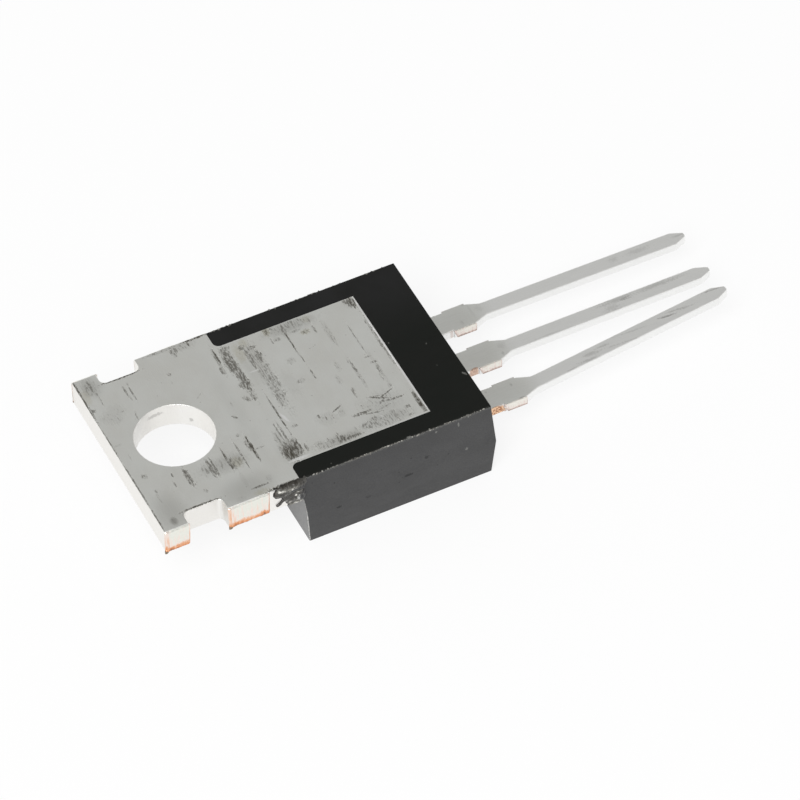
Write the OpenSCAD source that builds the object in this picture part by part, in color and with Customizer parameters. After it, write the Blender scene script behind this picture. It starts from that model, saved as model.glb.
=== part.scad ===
// Triac in a flat three-lead power package with a bare metal mounting tab.
//
// Frame: X runs across the package, +Y points to the tab's free end, the leads point
// to -Y and +Z points out of the mounting face. The origin lies in the mounting face,
// on the axis of the mounting hole. The package rests on its moulded front face.
// Depths are measured down from the mounting face, towards -Z.

/* [Tab] */
// Width of the tab
tab_w = 9.93; // [8:0.01:12]
// Thickness of the tab and of the header behind it
tab_t = 1.3; // [1.05:0.01:1.6]
// Length of the tab that stands out of the moulding
tab_l = 6.56; // [5.4:0.01:8]
// Diameter of the mounting hole
hole_d = 3.66; // [3:0.01:4.4]
// Distance from the tab's free end to the hole's axis
hole_from_end = 2.77; // [2.3:0.01:3.4]
// Distance from the tab's free end to the side notches
notch_from_end = 1.16; // [0.5:0.01:1.5]
// Length of a side notch
notch_l = 1.88; // [1:0.01:2.3]
// Depth of a side notch
notch_depth = 0.68; // [0.3:0.01:0.75]
// Radius of a notch's inner corners
notch_r = 0.29; // [0.05:0.01:0.29]

/* [Header inside the moulding] */
// Radius of the inner corner between the tab's shoulder and the bare pad
shoulder_r = 0.3; // [0.1:0.01:0.5]
// Width of the locking lip that the moulding grips, around the bare pad
lip_w = 0.35; // [0.15:0.01:0.5]
// Thickness of the locking lip
lip_t = 0.65; // [0.4:0.01:0.8]

/* [Moulding] */
// Length of the moulding at the mounting face
mould_l = 9.33; // [7.7:0.01:11.2]
// Height of the moulding, from the mounting face to the front face
mould_h = 4.5; // [3.7:0.01:5.4]
// How far the moulding stands out past the tab's side at the parting line
side_step = 0.01; // [0:0.01:0.3]
// Inward draft of each side, from the parting line to the mounting face
side_draft_back = 0.05; // [0:0.01:0.25]
// Inward draft of each side, from the parting line to the front face
side_draft_front = 0.25; // [0:0.01:0.5]
// Outward bulge of the lead end at the parting line
end_bulge = 0.19; // [0:0.01:0.4]
// Inward draft of the lead end, from the parting line to the front face
end_draft_front = 0.16; // [0:0.01:0.4]
// Step from the tab's shoulder back to the moulding's tab end, under the tab
shoulder_step = 0.1; // [0.05:0.01:0.5]
// Inward draft of the tab end, from the tab to the front face
tab_end_draft = 0.25; // [0:0.01:0.4]
// Width of the moulded strip on each side of the bare pad
side_strip_w = 0.985; // [0.8:0.005:1.2]
// Length of the moulded strip between the bare pad and the lead end
end_strip_l = 2.5; // [2:0.01:3]

/* [Resin flash] */
// Distance that the flash runs from the moulding along the tab's side
flash_l = 1.05; // [0.4:0.01:1.5]
// Radius of the flash bead
flash_r = 0.28; // [0.15:0.01:0.4]
// How far the bead stands out of the tab's side
flash_proud = 0.14; // [0.05:0.01:0.15]
// Radius of the round blob under the bead
flash_blob_r = 0.3; // [0.15:0.01:0.35]

/* [Leads] */
// Distance between the axes of neighbouring leads
pitch = 2.54; // [2.2:0.01:3.05]
// Thickness of a lead
lead_t = 0.48; // [0.4:0.01:0.6]
// Depth of a lead's back face
lead_depth = 2.34; // [1.95:0.01:2.8]
// Length of a lead outside the moulding
lead_l = 13.33; // [11:0.01:16]
// Width of a lead's stem next to the moulding
stem_w = 1.26; // [1.1:0.01:1.6]
// Length of a lead's stem outside the moulding
stem_l = 2.48; // [2.3:0.01:3]
// Length of the shoulders between stem and blade
taper_l = 0.6; // [0.3:0.01:1]
// Width of a lead's blade
blade_w = 0.78; // [0.57:0.01:0.85]
// Width of the flat end of a blade's tip
tip_w = 0.26; // [0.1:0.01:0.5]
// Length of the tip's two corner chamfers
tip_l = 0.62; // [0.2:0.01:1.2]
// Distance from a stem's shoulders back to the cut stubs of the dam bar
stub_from_shoulder = 0.07; // [0:0.01:0.5]
// Length of a cut stub of the dam bar
stub_l = 1.1; // [0.5:0.01:1.2]
// How far a cut stub stands out of the stem
stub_proud = 0.02; // [0.01:0.01:0.2]

/* [Bent leads] */
// Angle by which the gate lead is bent towards the middle lead, in degrees
gate_sweep = 4.8; // [0:0.1:6]
// Angle by which the gate lead is bent up, in degrees
gate_lift = 2; // [0:0.1:6]
// Angle by which the first main terminal's lead is bent towards the middle lead, in degrees
main_sweep = 0.6; // [0:0.1:6]
// Radius of a bend, measured at the lead's centre line
bend_r = 3; // [1.5:0.1:5]

/* [Leads inside the moulding] */
// Angle of the sloping neck between the header and the middle lead, in degrees
neck_angle = 50; // [42:1:65]
// Clearance in Y between the header's lip and the neck's slope, and between lip and posts
post_clear = 0.15; // [0.1:0.01:0.3]
// Length of a bonding post
post_l = 1.25; // [1:0.01:1.3]
// How far a post reaches out past its stem
post_out = 0.45; // [0.1:0.01:0.55]
// How far the main post reaches past its stem towards the middle
main_post_in = 0.75; // [0.3:0.01:0.8]
// How far the gate post reaches past its stem towards the middle
gate_post_in = 0.35; // [0.1:0.01:0.8]

/* [Chip and wires] */
// Side of the square chip
chip_w = 3.8; // [3:0.01:4.6]
// Thickness of the chip
chip_t = 0.25; // [0.18:0.01:0.35]
// Thickness of the solder under the chip
solder_t = 0.06; // [0.03:0.01:0.12]
// Width of the solder that shows around the chip
solder_margin = 0.12; // [0.05:0.01:0.3]
// Diameter of each of the two main wires
main_wire_d = 0.38; // [0.25:0.01:0.45]
// Distance between the two main wires
main_wire_pitch = 1.1; // [0.8:0.01:1.3]
// Diameter of the gate wire
gate_wire_d = 0.18; // [0.12:0.01:0.25]

/* [Hidden] */
$fn = 96;

// margin by which a cutting body runs past what it cuts
cut_over = 1;

// places along Y, from the tab's free end to the lead tips
tab_end_y = hole_from_end;
shoulder_y = tab_end_y - tab_l;
mould_end_y = shoulder_y - mould_l;
parting_end_y = mould_end_y - end_bulge;
pad_end_y = mould_end_y + end_strip_l;
header_end_y = pad_end_y - lip_w;

// widths that line up with one another
parting_w = tab_w + 2 * side_step;
mould_back_w = parting_w - 2 * side_draft_back;
mould_front_w = parting_w - 2 * side_draft_front;
pad_w = mould_back_w - 2 * side_strip_w;

// heights; the moulding's parting line lies in the leads' back face
tab_inner_z = -tab_t;
parting_z = -lead_depth;
lead_front_z = -lead_depth - lead_t;
lead_mid_z = -lead_depth - lead_t / 2;
mould_front_z = -mould_h;

// the neck: its first bend, and the run and fall of its slope
neck_y = header_end_y - post_clear;
neck_fall = lead_depth - (tab_t - lead_t);
neck_run = neck_fall / tan(neck_angle);

// the bonding posts of the two outer leads
post_y = header_end_y - post_clear;
post_end_y = post_y - post_l;
main_post_mid_x = pitch + (post_out - main_post_in) / 2;
gate_post_mid_x = -pitch - (post_out - gate_post_in) / 2;

// the chip, midway between the moulding's tab end and the bare pad's lead end; its
// top face looks towards the front
mould_start_y = shoulder_y - shoulder_step;
chip_mid_y = (mould_start_y + pad_end_y) / 2;
chip_back_z = tab_inner_z - solder_t;
chip_front_z = chip_back_z - chip_t;

// a wire runs in one arc that turns through twice this angle, from foot to foot; each
// foot is pressed flat, and its length, width, thickness, the height of the wire's axis
// over it and the depth that is trimmed off below it are given in wire diameters
loop_half_turn = 34;
foot_l_d = 2.2;
foot_w_d = 1.4;
foot_t_d = 0.5;
foot_axis_d = 0.4;
foot_trim_d = 0.2;

// where the wires land: on the chip from its middle, on a post from its middle
main_wire_from = [0.55, chip_mid_y + 0.2];
main_wire_to = [main_post_mid_x, post_y - post_l / 2];
gate_wire_from = [-chip_w / 2 + 0.5, chip_mid_y - chip_w / 2 + 0.75];
gate_wire_to = [gate_post_mid_x, post_y - post_l / 2];

tin = [0.68, 0.68, 0.66];
resin = [0.12, 0.12, 0.12];

// extrudes an outline given as [y, z] points across the package, centred on X = 0
module across(width) {
  translate([-width / 2, 0, 0])
    rotate([90, 0, 90]) linear_extrude(width) children();
}

// ---- header, with the middle lead as part of the same stamping ----

module notch_outline() {
  translate([0, notch_r]) square([notch_depth, notch_l - 2 * notch_r]);
  square([notch_depth - notch_r, notch_l]);
  for (y = [notch_r, notch_l - notch_r])
    translate([notch_depth - notch_r, y]) circle(notch_r);
  translate([-cut_over, 0]) square([cut_over, notch_l]);
}

// concave fillet in the corner at the origin that opens towards +X and -Y
module corner_fill(r) {
  difference() {
    translate([0, -r]) square(r);
    translate([r, -r]) circle(r);
  }
}

module tab_outline() {
  difference() {
    translate([-tab_w / 2, shoulder_y]) square([tab_w, tab_l]);
    circle(d = hole_d);
    for (side = [0, 1])
      mirror([side, 0])
        translate([-tab_w / 2, tab_end_y - notch_from_end - notch_l]) notch_outline();
  }
}

module pad_outline(width, end_y) {
  translate([-width / 2, end_y]) square([width, shoulder_y - end_y]);
  for (side = [0, 1])
    mirror([side, 0])
      translate([width / 2, shoulder_y]) corner_fill(shoulder_r);
}

module header() {
  translate([0, 0, -tab_t]) linear_extrude(tab_t) {
    tab_outline();
    pad_outline(pad_w, pad_end_y);
  }
  translate([0, 0, -tab_t]) linear_extrude(lip_t) pad_outline(pad_w + 2 * lip_w, header_end_y);
}

// the sheet that joins the header to the middle lead: flat, sloping down, flat again
module neck() {
  mitre = lead_t * tan(neck_angle / 2);
  tongue_z = tab_inner_z + lead_t;
  slope_end_y = neck_y - neck_run;
  across(stem_w) polygon([
    [pad_end_y, tongue_z], [neck_y, tongue_z],
    [slope_end_y, parting_z], [parting_end_y, parting_z],
    [parting_end_y, lead_front_z], [slope_end_y + mitre, lead_front_z],
    [neck_y + mitre, tab_inner_z], [pad_end_y, tab_inner_z]
  ]);
}

// ---- leads ----

// a flat piece of lead, centred on Z = 0, from an outline in X and Y
module lead_sheet() {
  linear_extrude(lead_t, center = true) children();
}

// the stem from start_y in the moulding to the end of its shoulders; its end is the
// origin of what follows
module stem(x, start_y) {
  stem_end_y = parting_end_y - stem_l;
  translate([x, 0, lead_mid_z]) {
    lead_sheet() {
      polygon([
        [-stem_w / 2, start_y], [stem_w / 2, start_y],
        [stem_w / 2, stem_end_y], [blade_w / 2, stem_end_y - taper_l],
        [-blade_w / 2, stem_end_y - taper_l], [-stem_w / 2, stem_end_y]
      ]);
      stub_w = stem_w + 2 * stub_proud;
      translate([-stub_w / 2, stem_end_y + stub_from_shoulder])
        square([stub_w, stub_l]);
    }
    translate([0, stem_end_y - taper_l, 0]) children();
  }
}

// the straight blade along -Y with its chamfered tip
module blade(used_l = 0) {
  l = lead_l - stem_l - taper_l - used_l;
  lead_sheet() polygon([
    [-blade_w / 2, 0], [blade_w / 2, 0],
    [blade_w / 2, tip_l - l], [tip_w / 2, -l],
    [-tip_w / 2, -l], [-blade_w / 2, tip_l - l]
  ]);
}

// a bend of a bar w wide and t thick that runs along -Y, turning it towards +X
module bend(angle, w, t) {
  if (angle > 0)
    translate([bend_r, 0, 0]) {
      rotate([0, 0, 180]) rotate_extrude(angle = angle)
        translate([bend_r, 0]) square([w, t], center = true);
      rotate([0, 0, angle]) translate([-bend_r, 0, 0]) children();
    }
  else children();
}

// a blade swept towards +X and then lifted towards +Z
module bent_blade(sweep, lift) {
  used_l = bend_r * (sweep + lift) * PI / 180;
  bend(sweep, blade_w, lead_t)
    rotate([0, -90, 0]) bend(lift, lead_t, blade_w)
      rotate([0, 90, 0]) blade(used_l);
}

// an outer lead on the -X side: bonding post, stem and bent blade
module outer_lead(post_in, sweep, lift) {
  post_w = stem_w + post_out + post_in;
  translate([-pitch - stem_w / 2 - post_out, post_end_y, lead_mid_z])
    lead_sheet() square([post_w, post_l]);
  stem(-pitch, post_end_y) bent_blade(sweep, lift);
}

module header_with_middle_lead() {
  color(tin) {
    header();
    neck();
    stem(0, parting_end_y) blade();
  }
}

module main_terminal_lead() {
  color(tin) mirror([1, 0, 0]) outer_lead(main_post_in, main_sweep, 0);
}

module gate_lead() {
  color(tin) outer_lead(gate_post_in, gate_sweep, gate_lift);
}

// ---- chip, solder and bond wires ----

module triac_chip() {
  color([0.24, 0.26, 0.32])
    translate([-chip_w / 2, chip_mid_y - chip_w / 2, chip_front_z])
      cube([chip_w, chip_w, chip_t]);
}

module chip_solder() {
  w = chip_w + 2 * solder_margin;
  color([0.55, 0.55, 0.53])
    translate([-w / 2, chip_mid_y - w / 2, chip_back_z]) cube([w, w, solder_t]);
}

// the pressed foot of a wire of diameter d, running along X; what lies below Z = 0 is
// trimmed off later, by the chip or the post that the foot stands on
module wire_foot(d) {
  translate([-foot_l_d * d / 2, -foot_w_d * d / 2, -foot_trim_d * d])
    cube([foot_l_d * d, foot_w_d * d, (foot_t_d + foot_trim_d) * d]);
}

// A bond wire of diameter d from a foot on the chip to a foot on a post, both given as
// [x, y]. It is built with its climb towards +Z and then turned over, because the chip
// looks down. The arc's middle lies below the chord between its ends.
module bond_wire(d, from, to) {
  ground = norm(to - from);
  climb = chip_front_z - lead_front_z;
  chord = norm([ground, climb]);
  loop_r = chord / (2 * sin(loop_half_turn));
  heading = atan2(to.y - from.y, to.x - from.x);
  translate([from.x, from.y, chip_front_z])
    rotate([0, 0, heading]) mirror([0, 0, 1]) {
      wire_foot(d);
      translate([ground, 0, climb]) wire_foot(d);
      translate([0, 0, foot_axis_d * d])
        rotate([0, -atan2(climb, ground), 0])
          translate([chord / 2, 0, -loop_r * cos(loop_half_turn)])
            rotate([90, 0, 0]) rotate([0, 0, 90 - loop_half_turn])
              rotate_extrude(angle = 2 * loop_half_turn)
                translate([loop_r, 0]) circle(d = d);
    }
}

// the wires before their feet are pressed flat; their ends run into the chip and the post
module main_wire_blanks() {
  for (side = [-0.5, 0.5]) {
    offset_x = [side * main_wire_pitch, 0];
    bond_wire(main_wire_d, main_wire_from + offset_x, main_wire_to + offset_x);
  }
}

module gate_wire_blank() {
  bond_wire(gate_wire_d, gate_wire_from, gate_wire_to);
}

module main_bond_wires() {
  color([0.82, 0.82, 0.83])
    difference() {
      main_wire_blanks();
      triac_chip();
      main_terminal_lead();
    }
}

module gate_bond_wire() {
  color([0.82, 0.82, 0.83])
    difference() {
      gate_wire_blank();
      triac_chip();
      gate_lead();
    }
}

// ---- moulding ----

// the drafted block: the side outline and the end outline, each run through the other
module mould_block() {
  intersection() {
    across(parting_w + 2 * cut_over) polygon([
      [shoulder_y, 0], [shoulder_y, tab_inner_z],
      [mould_start_y, tab_inner_z],
      [mould_start_y - tab_end_draft, mould_front_z],
      [parting_end_y + end_draft_front, mould_front_z],
      [parting_end_y, parting_z], [mould_end_y, 0]
    ]);
    translate([0, shoulder_y + cut_over, 0])
      rotate([90, 0, 0]) linear_extrude(mould_l + end_bulge + 2 * cut_over) polygon([
        [-mould_back_w / 2, 0], [-parting_w / 2, parting_z],
        [-mould_front_w / 2, mould_front_z], [mould_front_w / 2, mould_front_z],
        [parting_w / 2, parting_z], [mould_back_w / 2, 0]
      ]);
  }
}

// resin that bled along the tab's -X side: a round-ended bead and a blob under it
module flash_bead() {
  bead_x = -tab_w / 2 - flash_proud + flash_r;
  bead_z = -flash_r - 0.03;
  bead_end_y = shoulder_y + flash_l - flash_r;
  translate([bead_x, mould_start_y, bead_z])
    rotate([-90, 0, 0]) cylinder(r = flash_r, h = bead_end_y - mould_start_y);
  translate([bead_x, bead_end_y, bead_z]) sphere(flash_r);
  translate([bead_x, shoulder_y + 0.05, tab_inner_z + flash_blob_r + 0.05])
    sphere(flash_blob_r);
}

module mould_body() {
  color(resin)
    difference() {
      union() {
        mould_block();
        flash_bead();
      }
      header_with_middle_lead();
      main_terminal_lead();
      gate_lead();
      triac_chip();
      chip_solder();
      main_wire_blanks();
      gate_wire_blank();
    }
}

header_with_middle_lead();
main_terminal_lead();
gate_lead();
mould_body();
triac_chip();
chip_solder();
main_bond_wires();
gate_bond_wire();
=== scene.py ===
# %% [markdown]
# # A triac in a three-lead power package
#
# A triac is an electronic switch for mains current. Its chip sits on a stamped copper header
# whose bare face is bolted to a heat sink, and black epoxy is moulded round chip and wires.
# This one lies on its moulded front, so the metal mounting face looks up. It is a used part:
# the tin plating is rubbed, the cut edges show copper, and resin has bled along the tab.
#
# The solids come from the CAD model and stay where they are. Everything here is in that
# model's frame: X across the package, Y towards the tab's free end, Z out of the mounting face.

# %% Load the frame
import math

import bmesh
import bpy
import numpy as np
from mathutils import Matrix, Vector


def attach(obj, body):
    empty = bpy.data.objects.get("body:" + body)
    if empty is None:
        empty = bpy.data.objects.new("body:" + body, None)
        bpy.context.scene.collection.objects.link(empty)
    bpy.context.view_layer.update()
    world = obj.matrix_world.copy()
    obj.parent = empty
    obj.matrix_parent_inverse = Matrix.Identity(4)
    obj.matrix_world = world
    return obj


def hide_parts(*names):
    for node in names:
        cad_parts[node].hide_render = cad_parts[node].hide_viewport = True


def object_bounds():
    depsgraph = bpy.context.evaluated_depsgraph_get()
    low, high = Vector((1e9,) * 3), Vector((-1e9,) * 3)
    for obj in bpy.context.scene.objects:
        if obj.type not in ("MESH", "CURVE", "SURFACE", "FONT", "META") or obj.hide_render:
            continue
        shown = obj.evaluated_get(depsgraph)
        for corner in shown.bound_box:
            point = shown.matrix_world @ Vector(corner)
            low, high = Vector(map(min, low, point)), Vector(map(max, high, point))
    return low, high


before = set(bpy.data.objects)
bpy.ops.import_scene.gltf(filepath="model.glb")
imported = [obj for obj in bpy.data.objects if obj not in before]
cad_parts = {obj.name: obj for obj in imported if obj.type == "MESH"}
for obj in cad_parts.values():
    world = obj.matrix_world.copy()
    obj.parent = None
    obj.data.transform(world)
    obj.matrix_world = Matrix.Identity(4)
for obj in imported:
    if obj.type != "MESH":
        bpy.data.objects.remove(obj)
cad_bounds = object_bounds()
MM = 0.001
print("CAD nodes:", sorted(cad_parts))

# %% [markdown]
# ## Places that the pieces need
#
# The edges of the tab, the pad and the leads are read from the corners of the CAD solids, so
# a change of size there moves everything here with it. All of these are in millimetres.


# %% Places read from the solids
def corners(name):
    """All corner points of a CAD node, in millimetres."""
    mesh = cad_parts[name].data
    points = np.empty(len(mesh.vertices) * 3)
    mesh.vertices.foreach_get("co", points)
    return points.reshape(-1, 3) / MM


SMALL = 0.002
HEADER, MAIN_LEAD, GATE_LEAD = "header_with_middle_lead", "main_terminal_lead", "gate_lead"
header_points = corners(HEADER)
tab_half_width = header_points[:, 0].max()
tab_end_y = header_points[:, 1].max()
tab_floor_z = header_points[header_points[:, 1] > 0, 2].min()
tab_side = header_points[header_points[:, 0] > tab_half_width - SMALL]
shoulder_y, notch_end_y, notch_start_y = np.unique(tab_side[:, 1].round(2))[:3]
in_notch = (header_points[:, 1] > notch_end_y) & (header_points[:, 1] < notch_start_y)
notch_inner_x = header_points[in_notch & (header_points[:, 0] > tab_half_width / 2), 0].min()
pad_points = header_points[(header_points[:, 2] > -SMALL) & (header_points[:, 1] < shoulder_y - 1)]
pad_half_width = pad_points[:, 0].max()
pad_end_y = pad_points[:, 1].min()
mould_points = corners("mould_body")
mould_end_y = mould_points[mould_points[:, 2] > -SMALL, 1].min()
parting_end_y = mould_points[:, 1].min()
mould_half_width = mould_points[mould_points[:, 2] > -SMALL, 0].max()
floor_z = mould_points[:, 2].min()
print(f"tab {2 * tab_half_width:.2f} wide, {-tab_floor_z:.2f} thick")
print(f"notch {notch_end_y:.2f} to {notch_start_y:.2f}, its floor at {notch_inner_x:.3f}")
print(f"pad to y {pad_end_y:.2f}, moulding to y {mould_end_y:.2f}, half width {mould_half_width:.3f}")


STUB_REACH = 2.3


def stub_places(name):
    """Where a lead's cut stub lies: its middle and half its width in X, and its corners."""
    points = corners(name)
    outside = points[points[:, 1] < parting_end_y - 1]
    across = outside[outside[:, 1] > parting_end_y - STUB_REACH, 0]
    axis_x = round(float(across.min() + across.max()) / 2, 3)
    half_width = np.abs(across - axis_x).max()
    on_stub = outside[np.abs(np.abs(outside[:, 0] - axis_x) - half_width) < SMALL]
    return axis_x, half_width, on_stub.min(axis=0), on_stub.max(axis=0)


pitch, stub_half_width, stub_low, stub_high = stub_places(MAIN_LEAD)
stub_end_y, lead_front_z = stub_low[1:]
stub_start_y, lead_back_z = stub_high[1:]
lead_axes = {GATE_LEAD: -pitch, HEADER: 0.0, MAIN_LEAD: pitch}
print("leads", pitch, "apart")
print(f"stubs y {stub_end_y:.2f} to {stub_start_y:.2f}, leads z {lead_front_z:.2f} to {lead_back_z:.2f}")

# %% [markdown]
# ## Camera
#
# A long lens from a quarter of a metre keeps the small part's lines nearly parallel. The
# camera looks from the gate side, a little from the tab's end, and down on the bare metal.
# It is aimed with a direction from two angles and a small roll about its own axis.


# %% Camera
def direction(azimuth, elevation):
    """Unit vector from the part towards a place at these two angles, in degrees."""
    turn = math.radians(azimuth)
    rise = math.radians(elevation)
    return Vector((math.sin(turn) * math.cos(rise), -math.cos(turn) * math.cos(rise), math.sin(rise)))


AIM = Vector((-2.72, -9.72, 0.0)) * MM
CAMERA_AZIMUTH, CAMERA_ELEVATION, CAMERA_ROLL = -114.06, 47.67, -2.63
CAMERA_DISTANCE = 276.6 * MM
LENS_MM, SENSOR_MM = 281.57, 36.0

camera_data = bpy.data.cameras.new("camera")
camera_data.lens = LENS_MM
camera_data.sensor_width = SENSOR_MM
camera_data.clip_start = 0.01
camera_data.clip_end = 20.0
camera = bpy.data.objects.new("camera", camera_data)
bpy.context.scene.collection.objects.link(camera)
towards_camera = direction(CAMERA_AZIMUTH, CAMERA_ELEVATION)
camera.location = AIM + towards_camera * CAMERA_DISTANCE
level = towards_camera.to_track_quat("Z", "Y").to_matrix()
rolled = level @ Matrix.Rotation(math.radians(CAMERA_ROLL), 3, "Z")
camera.rotation_euler = rolled.to_euler()
bpy.context.scene.camera = camera
bpy.context.scene.view_settings.view_transform = "Standard"
print("camera at", [round(value, 4) for value in camera.location])

# %% [markdown]
# ## A few helpers for node trees
#
# Materials are built from nodes. Each helper below adds one node, fills its inputs with
# values or links, and gives back the output that the next node wants. Those that take a linked
# value find the tree from it, so that a formula reads as one.


# %% Node helpers
def add(tree, kind, inputs=None, **options):
    """Add one shader node, set its options, and fill or link its inputs."""
    node = tree.nodes.new("ShaderNode" + kind)
    for key, value in options.items():
        setattr(node, key, value)
    for key, value in (inputs or {}).items():
        if isinstance(value, bpy.types.NodeSocket):
            tree.links.new(value, node.inputs[key])
        else:
            node.inputs[key].default_value = value
    return node


def reckon(operation, *values, clamp=False):
    """One Math node's result, in the tree that the linked ones of its values belong to."""
    tree = next(value.id_data for value in values if isinstance(value, bpy.types.NodeSocket))
    node = add(tree, "Math", dict(enumerate(values)), operation=operation, use_clamp=clamp)
    return node.outputs[0]


def times(a, b):
    """The product of two values."""
    return reckon("MULTIPLY", a, b)


def plus(a, b, clamp=False):
    """The sum of two values."""
    return reckon("ADD", a, b, clamp=clamp)


def minus(a, b):
    """The first value less the second."""
    return reckon("SUBTRACT", a, b)


def larger(a, b):
    """The larger of two values."""
    return reckon("MAXIMUM", a, b)


def ramp_value(value, start, end, low=0.0, high=1.0):
    """A smooth step: low at start, high at end."""
    inputs = {"Value": value, "From Min": start, "From Max": end, "To Min": low, "To Max": high}
    return add(value.id_data, "MapRange", inputs, interpolation_type="SMOOTHSTEP").outputs["Result"]


def stretch(value, low, high):
    """A value from 0 to 1, stretched to run from low to high."""
    inputs = {"Value": value, "To Min": low, "To Max": high}
    return add(value.id_data, "MapRange", inputs).outputs["Result"]


def blend(factor, colour_a, colour_b):
    """Colour A where the factor is 0, colour B where it is 1."""
    node = add(factor.id_data, "Mix", {0: factor, 6: colour_a, 7: colour_b}, data_type="RGBA")
    return node.outputs[2]


def srgb(red, green, blue):
    """A colour given as 0 to 255 screen values, turned into the linear values that shaders use."""
    screen = np.array([red, green, blue]) / 255.0
    linear = np.where(screen <= 0.04045, screen / 12.92, ((screen + 0.055) / 1.055) ** 2.4)
    return (*linear.tolist(), 1.0)


# %% [markdown]
# ## Floor, sky and lamps
#
# The part lies on a white table in a white tent. The floor is seen by the camera, and in the
# metal's reflections, as almost pure white. The rest of it is an ordinary white surface, so
# the part still leaves a soft shadow. The sky is white at the horizon and darker overhead:
# that is what makes the flat mounting face read as grey metal while its sides stay bright.
# One soft box stands behind the camera, a little to its side, and gives the matt resin its form.

# %% Floor
FLOOR_HALF_SIZE = 1.5
FLOOR_WHITE_SHARE = 0.84
FLOOR_PAINT = (0.9, 0.9, 0.9, 1.0)
WHITE = (1.0, 1.0, 1.0, 1.0)


def white_floor_material():
    """A diffuse white that camera, glossy and transmitted rays see mixed with plain white."""
    material = bpy.data.materials.new("white_table")
    material.use_nodes = True
    tree = material.node_tree
    tree.nodes.clear()
    path = add(tree, "LightPath").outputs
    seen = larger(path["Is Camera Ray"], path["Is Glossy Ray"])
    seen = larger(seen, path["Is Transmission Ray"])
    share = times(seen, FLOOR_WHITE_SHARE)
    paint = add(tree, "BsdfDiffuse", {"Color": FLOOR_PAINT}).outputs[0]
    white = add(tree, "Emission", {"Color": WHITE, "Strength": 1.0}).outputs[0]
    mixed = add(tree, "MixShader", {0: share, 1: paint, 2: white}).outputs[0]
    add(tree, "OutputMaterial", {"Surface": mixed})
    return material


floor_mesh = bpy.data.meshes.new("table")
half = FLOOR_HALF_SIZE
height = cad_bounds[0][2]
floor_corners = [(x, y, height) for x, y in ((-half, -half), (half, -half), (half, half), (-half, half))]
floor_mesh.from_pydata(floor_corners, [], [(0, 1, 2, 3)])
floor_mesh.materials.append(white_floor_material())
floor = bpy.data.objects.new("table", floor_mesh)
bpy.context.scene.collection.objects.link(floor)
print("table at z =", round(height / MM, 3), "mm")

# %% Sky
HORIZON_Z, OVERHEAD_Z = 0.10, 0.65
OVERHEAD_STRENGTH = 0.45

sky = bpy.data.worlds.new("white_tent")
sky.use_nodes = True
sky_tree = sky.node_tree
sky_tree.nodes.clear()
sky_direction = add(sky_tree, "TexCoord").outputs["Generated"]
sky_height = add(sky_tree, "SeparateXYZ", {0: sky_direction}).outputs["Z"]
sky_strength = ramp_value(sky_height, HORIZON_Z, OVERHEAD_Z, 1.0, OVERHEAD_STRENGTH)
sky_light = add(sky_tree, "Background", {"Color": WHITE, "Strength": sky_strength})
add(sky_tree, "OutputWorld", {"Surface": sky_light.outputs[0]})
bpy.context.scene.world = sky
print("sky strength overhead:", OVERHEAD_STRENGTH)


# %% Lamps
def soft_box(name, azimuth, elevation, distance, size, watts):
    """A round area lamp that faces the part."""
    data = bpy.data.lights.new(name, "AREA")
    data.shape = "DISK"
    data.size = size
    data.energy = watts
    lamp = bpy.data.objects.new(name, data)
    bpy.context.scene.collection.objects.link(lamp)
    towards = direction(azimuth, elevation)
    lamp.location = AIM + towards * distance
    lamp.rotation_euler = towards.to_track_quat("Z", "Y").to_euler()
    return lamp


KEY_AZIMUTH, KEY_ELEVATION = -130, 50
KEY_DISTANCE, KEY_SIZE, KEY_WATTS = 0.5, 0.3, 1.8
soft_box("key_soft_box", KEY_AZIMUTH, KEY_ELEVATION, KEY_DISTANCE, KEY_SIZE, KEY_WATTS)
print("lamps:", [item.name for item in bpy.data.lights])

# %% [markdown]
# ## Effects that several finishes share
#
# Rub marks, rolling grain, specks and worn edges are each built once as a node group with
# named inputs and outputs. A material places a group with its own values.
# All lengths inside the groups are millimetres, because the finishes are that fine.


# %% Group helper
def new_group(name, inputs, outputs):
    """An empty shader node group. Inputs are (label, socket type, value); outputs (label, type)."""
    tree = bpy.data.node_groups.new(name, "ShaderNodeTree")
    for label, kind, value in inputs:
        socket = tree.interface.new_socket(label, in_out="INPUT", socket_type="NodeSocket" + kind)
        socket.default_value = value
    for label, kind in outputs:
        tree.interface.new_socket(label, in_out="OUTPUT", socket_type="NodeSocket" + kind)
    return tree, tree.nodes.new("NodeGroupInput").outputs, tree.nodes.new("NodeGroupOutput").inputs


def use(tree, group, **inputs):
    """Place a group in a tree. An input label's spaces are written as underscores."""
    node = tree.nodes.new("ShaderNodeGroup")
    node.node_tree = group
    for label, value in inputs.items():
        socket = node.inputs[label.replace("_", " ")]
        if isinstance(value, bpy.types.NodeSocket):
            tree.links.new(value, socket)
        else:
            socket.default_value = value
    return node.outputs


def position_mm(tree):
    """Object coordinates in millimetres."""
    place = add(tree, "TexCoord").outputs["Object"]
    to_mm = (1 / MM, 1 / MM, 1 / MM)
    return add(tree, "VectorMath", {0: place, 1: to_mm}, operation="MULTIPLY").outputs["Vector"]
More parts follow.
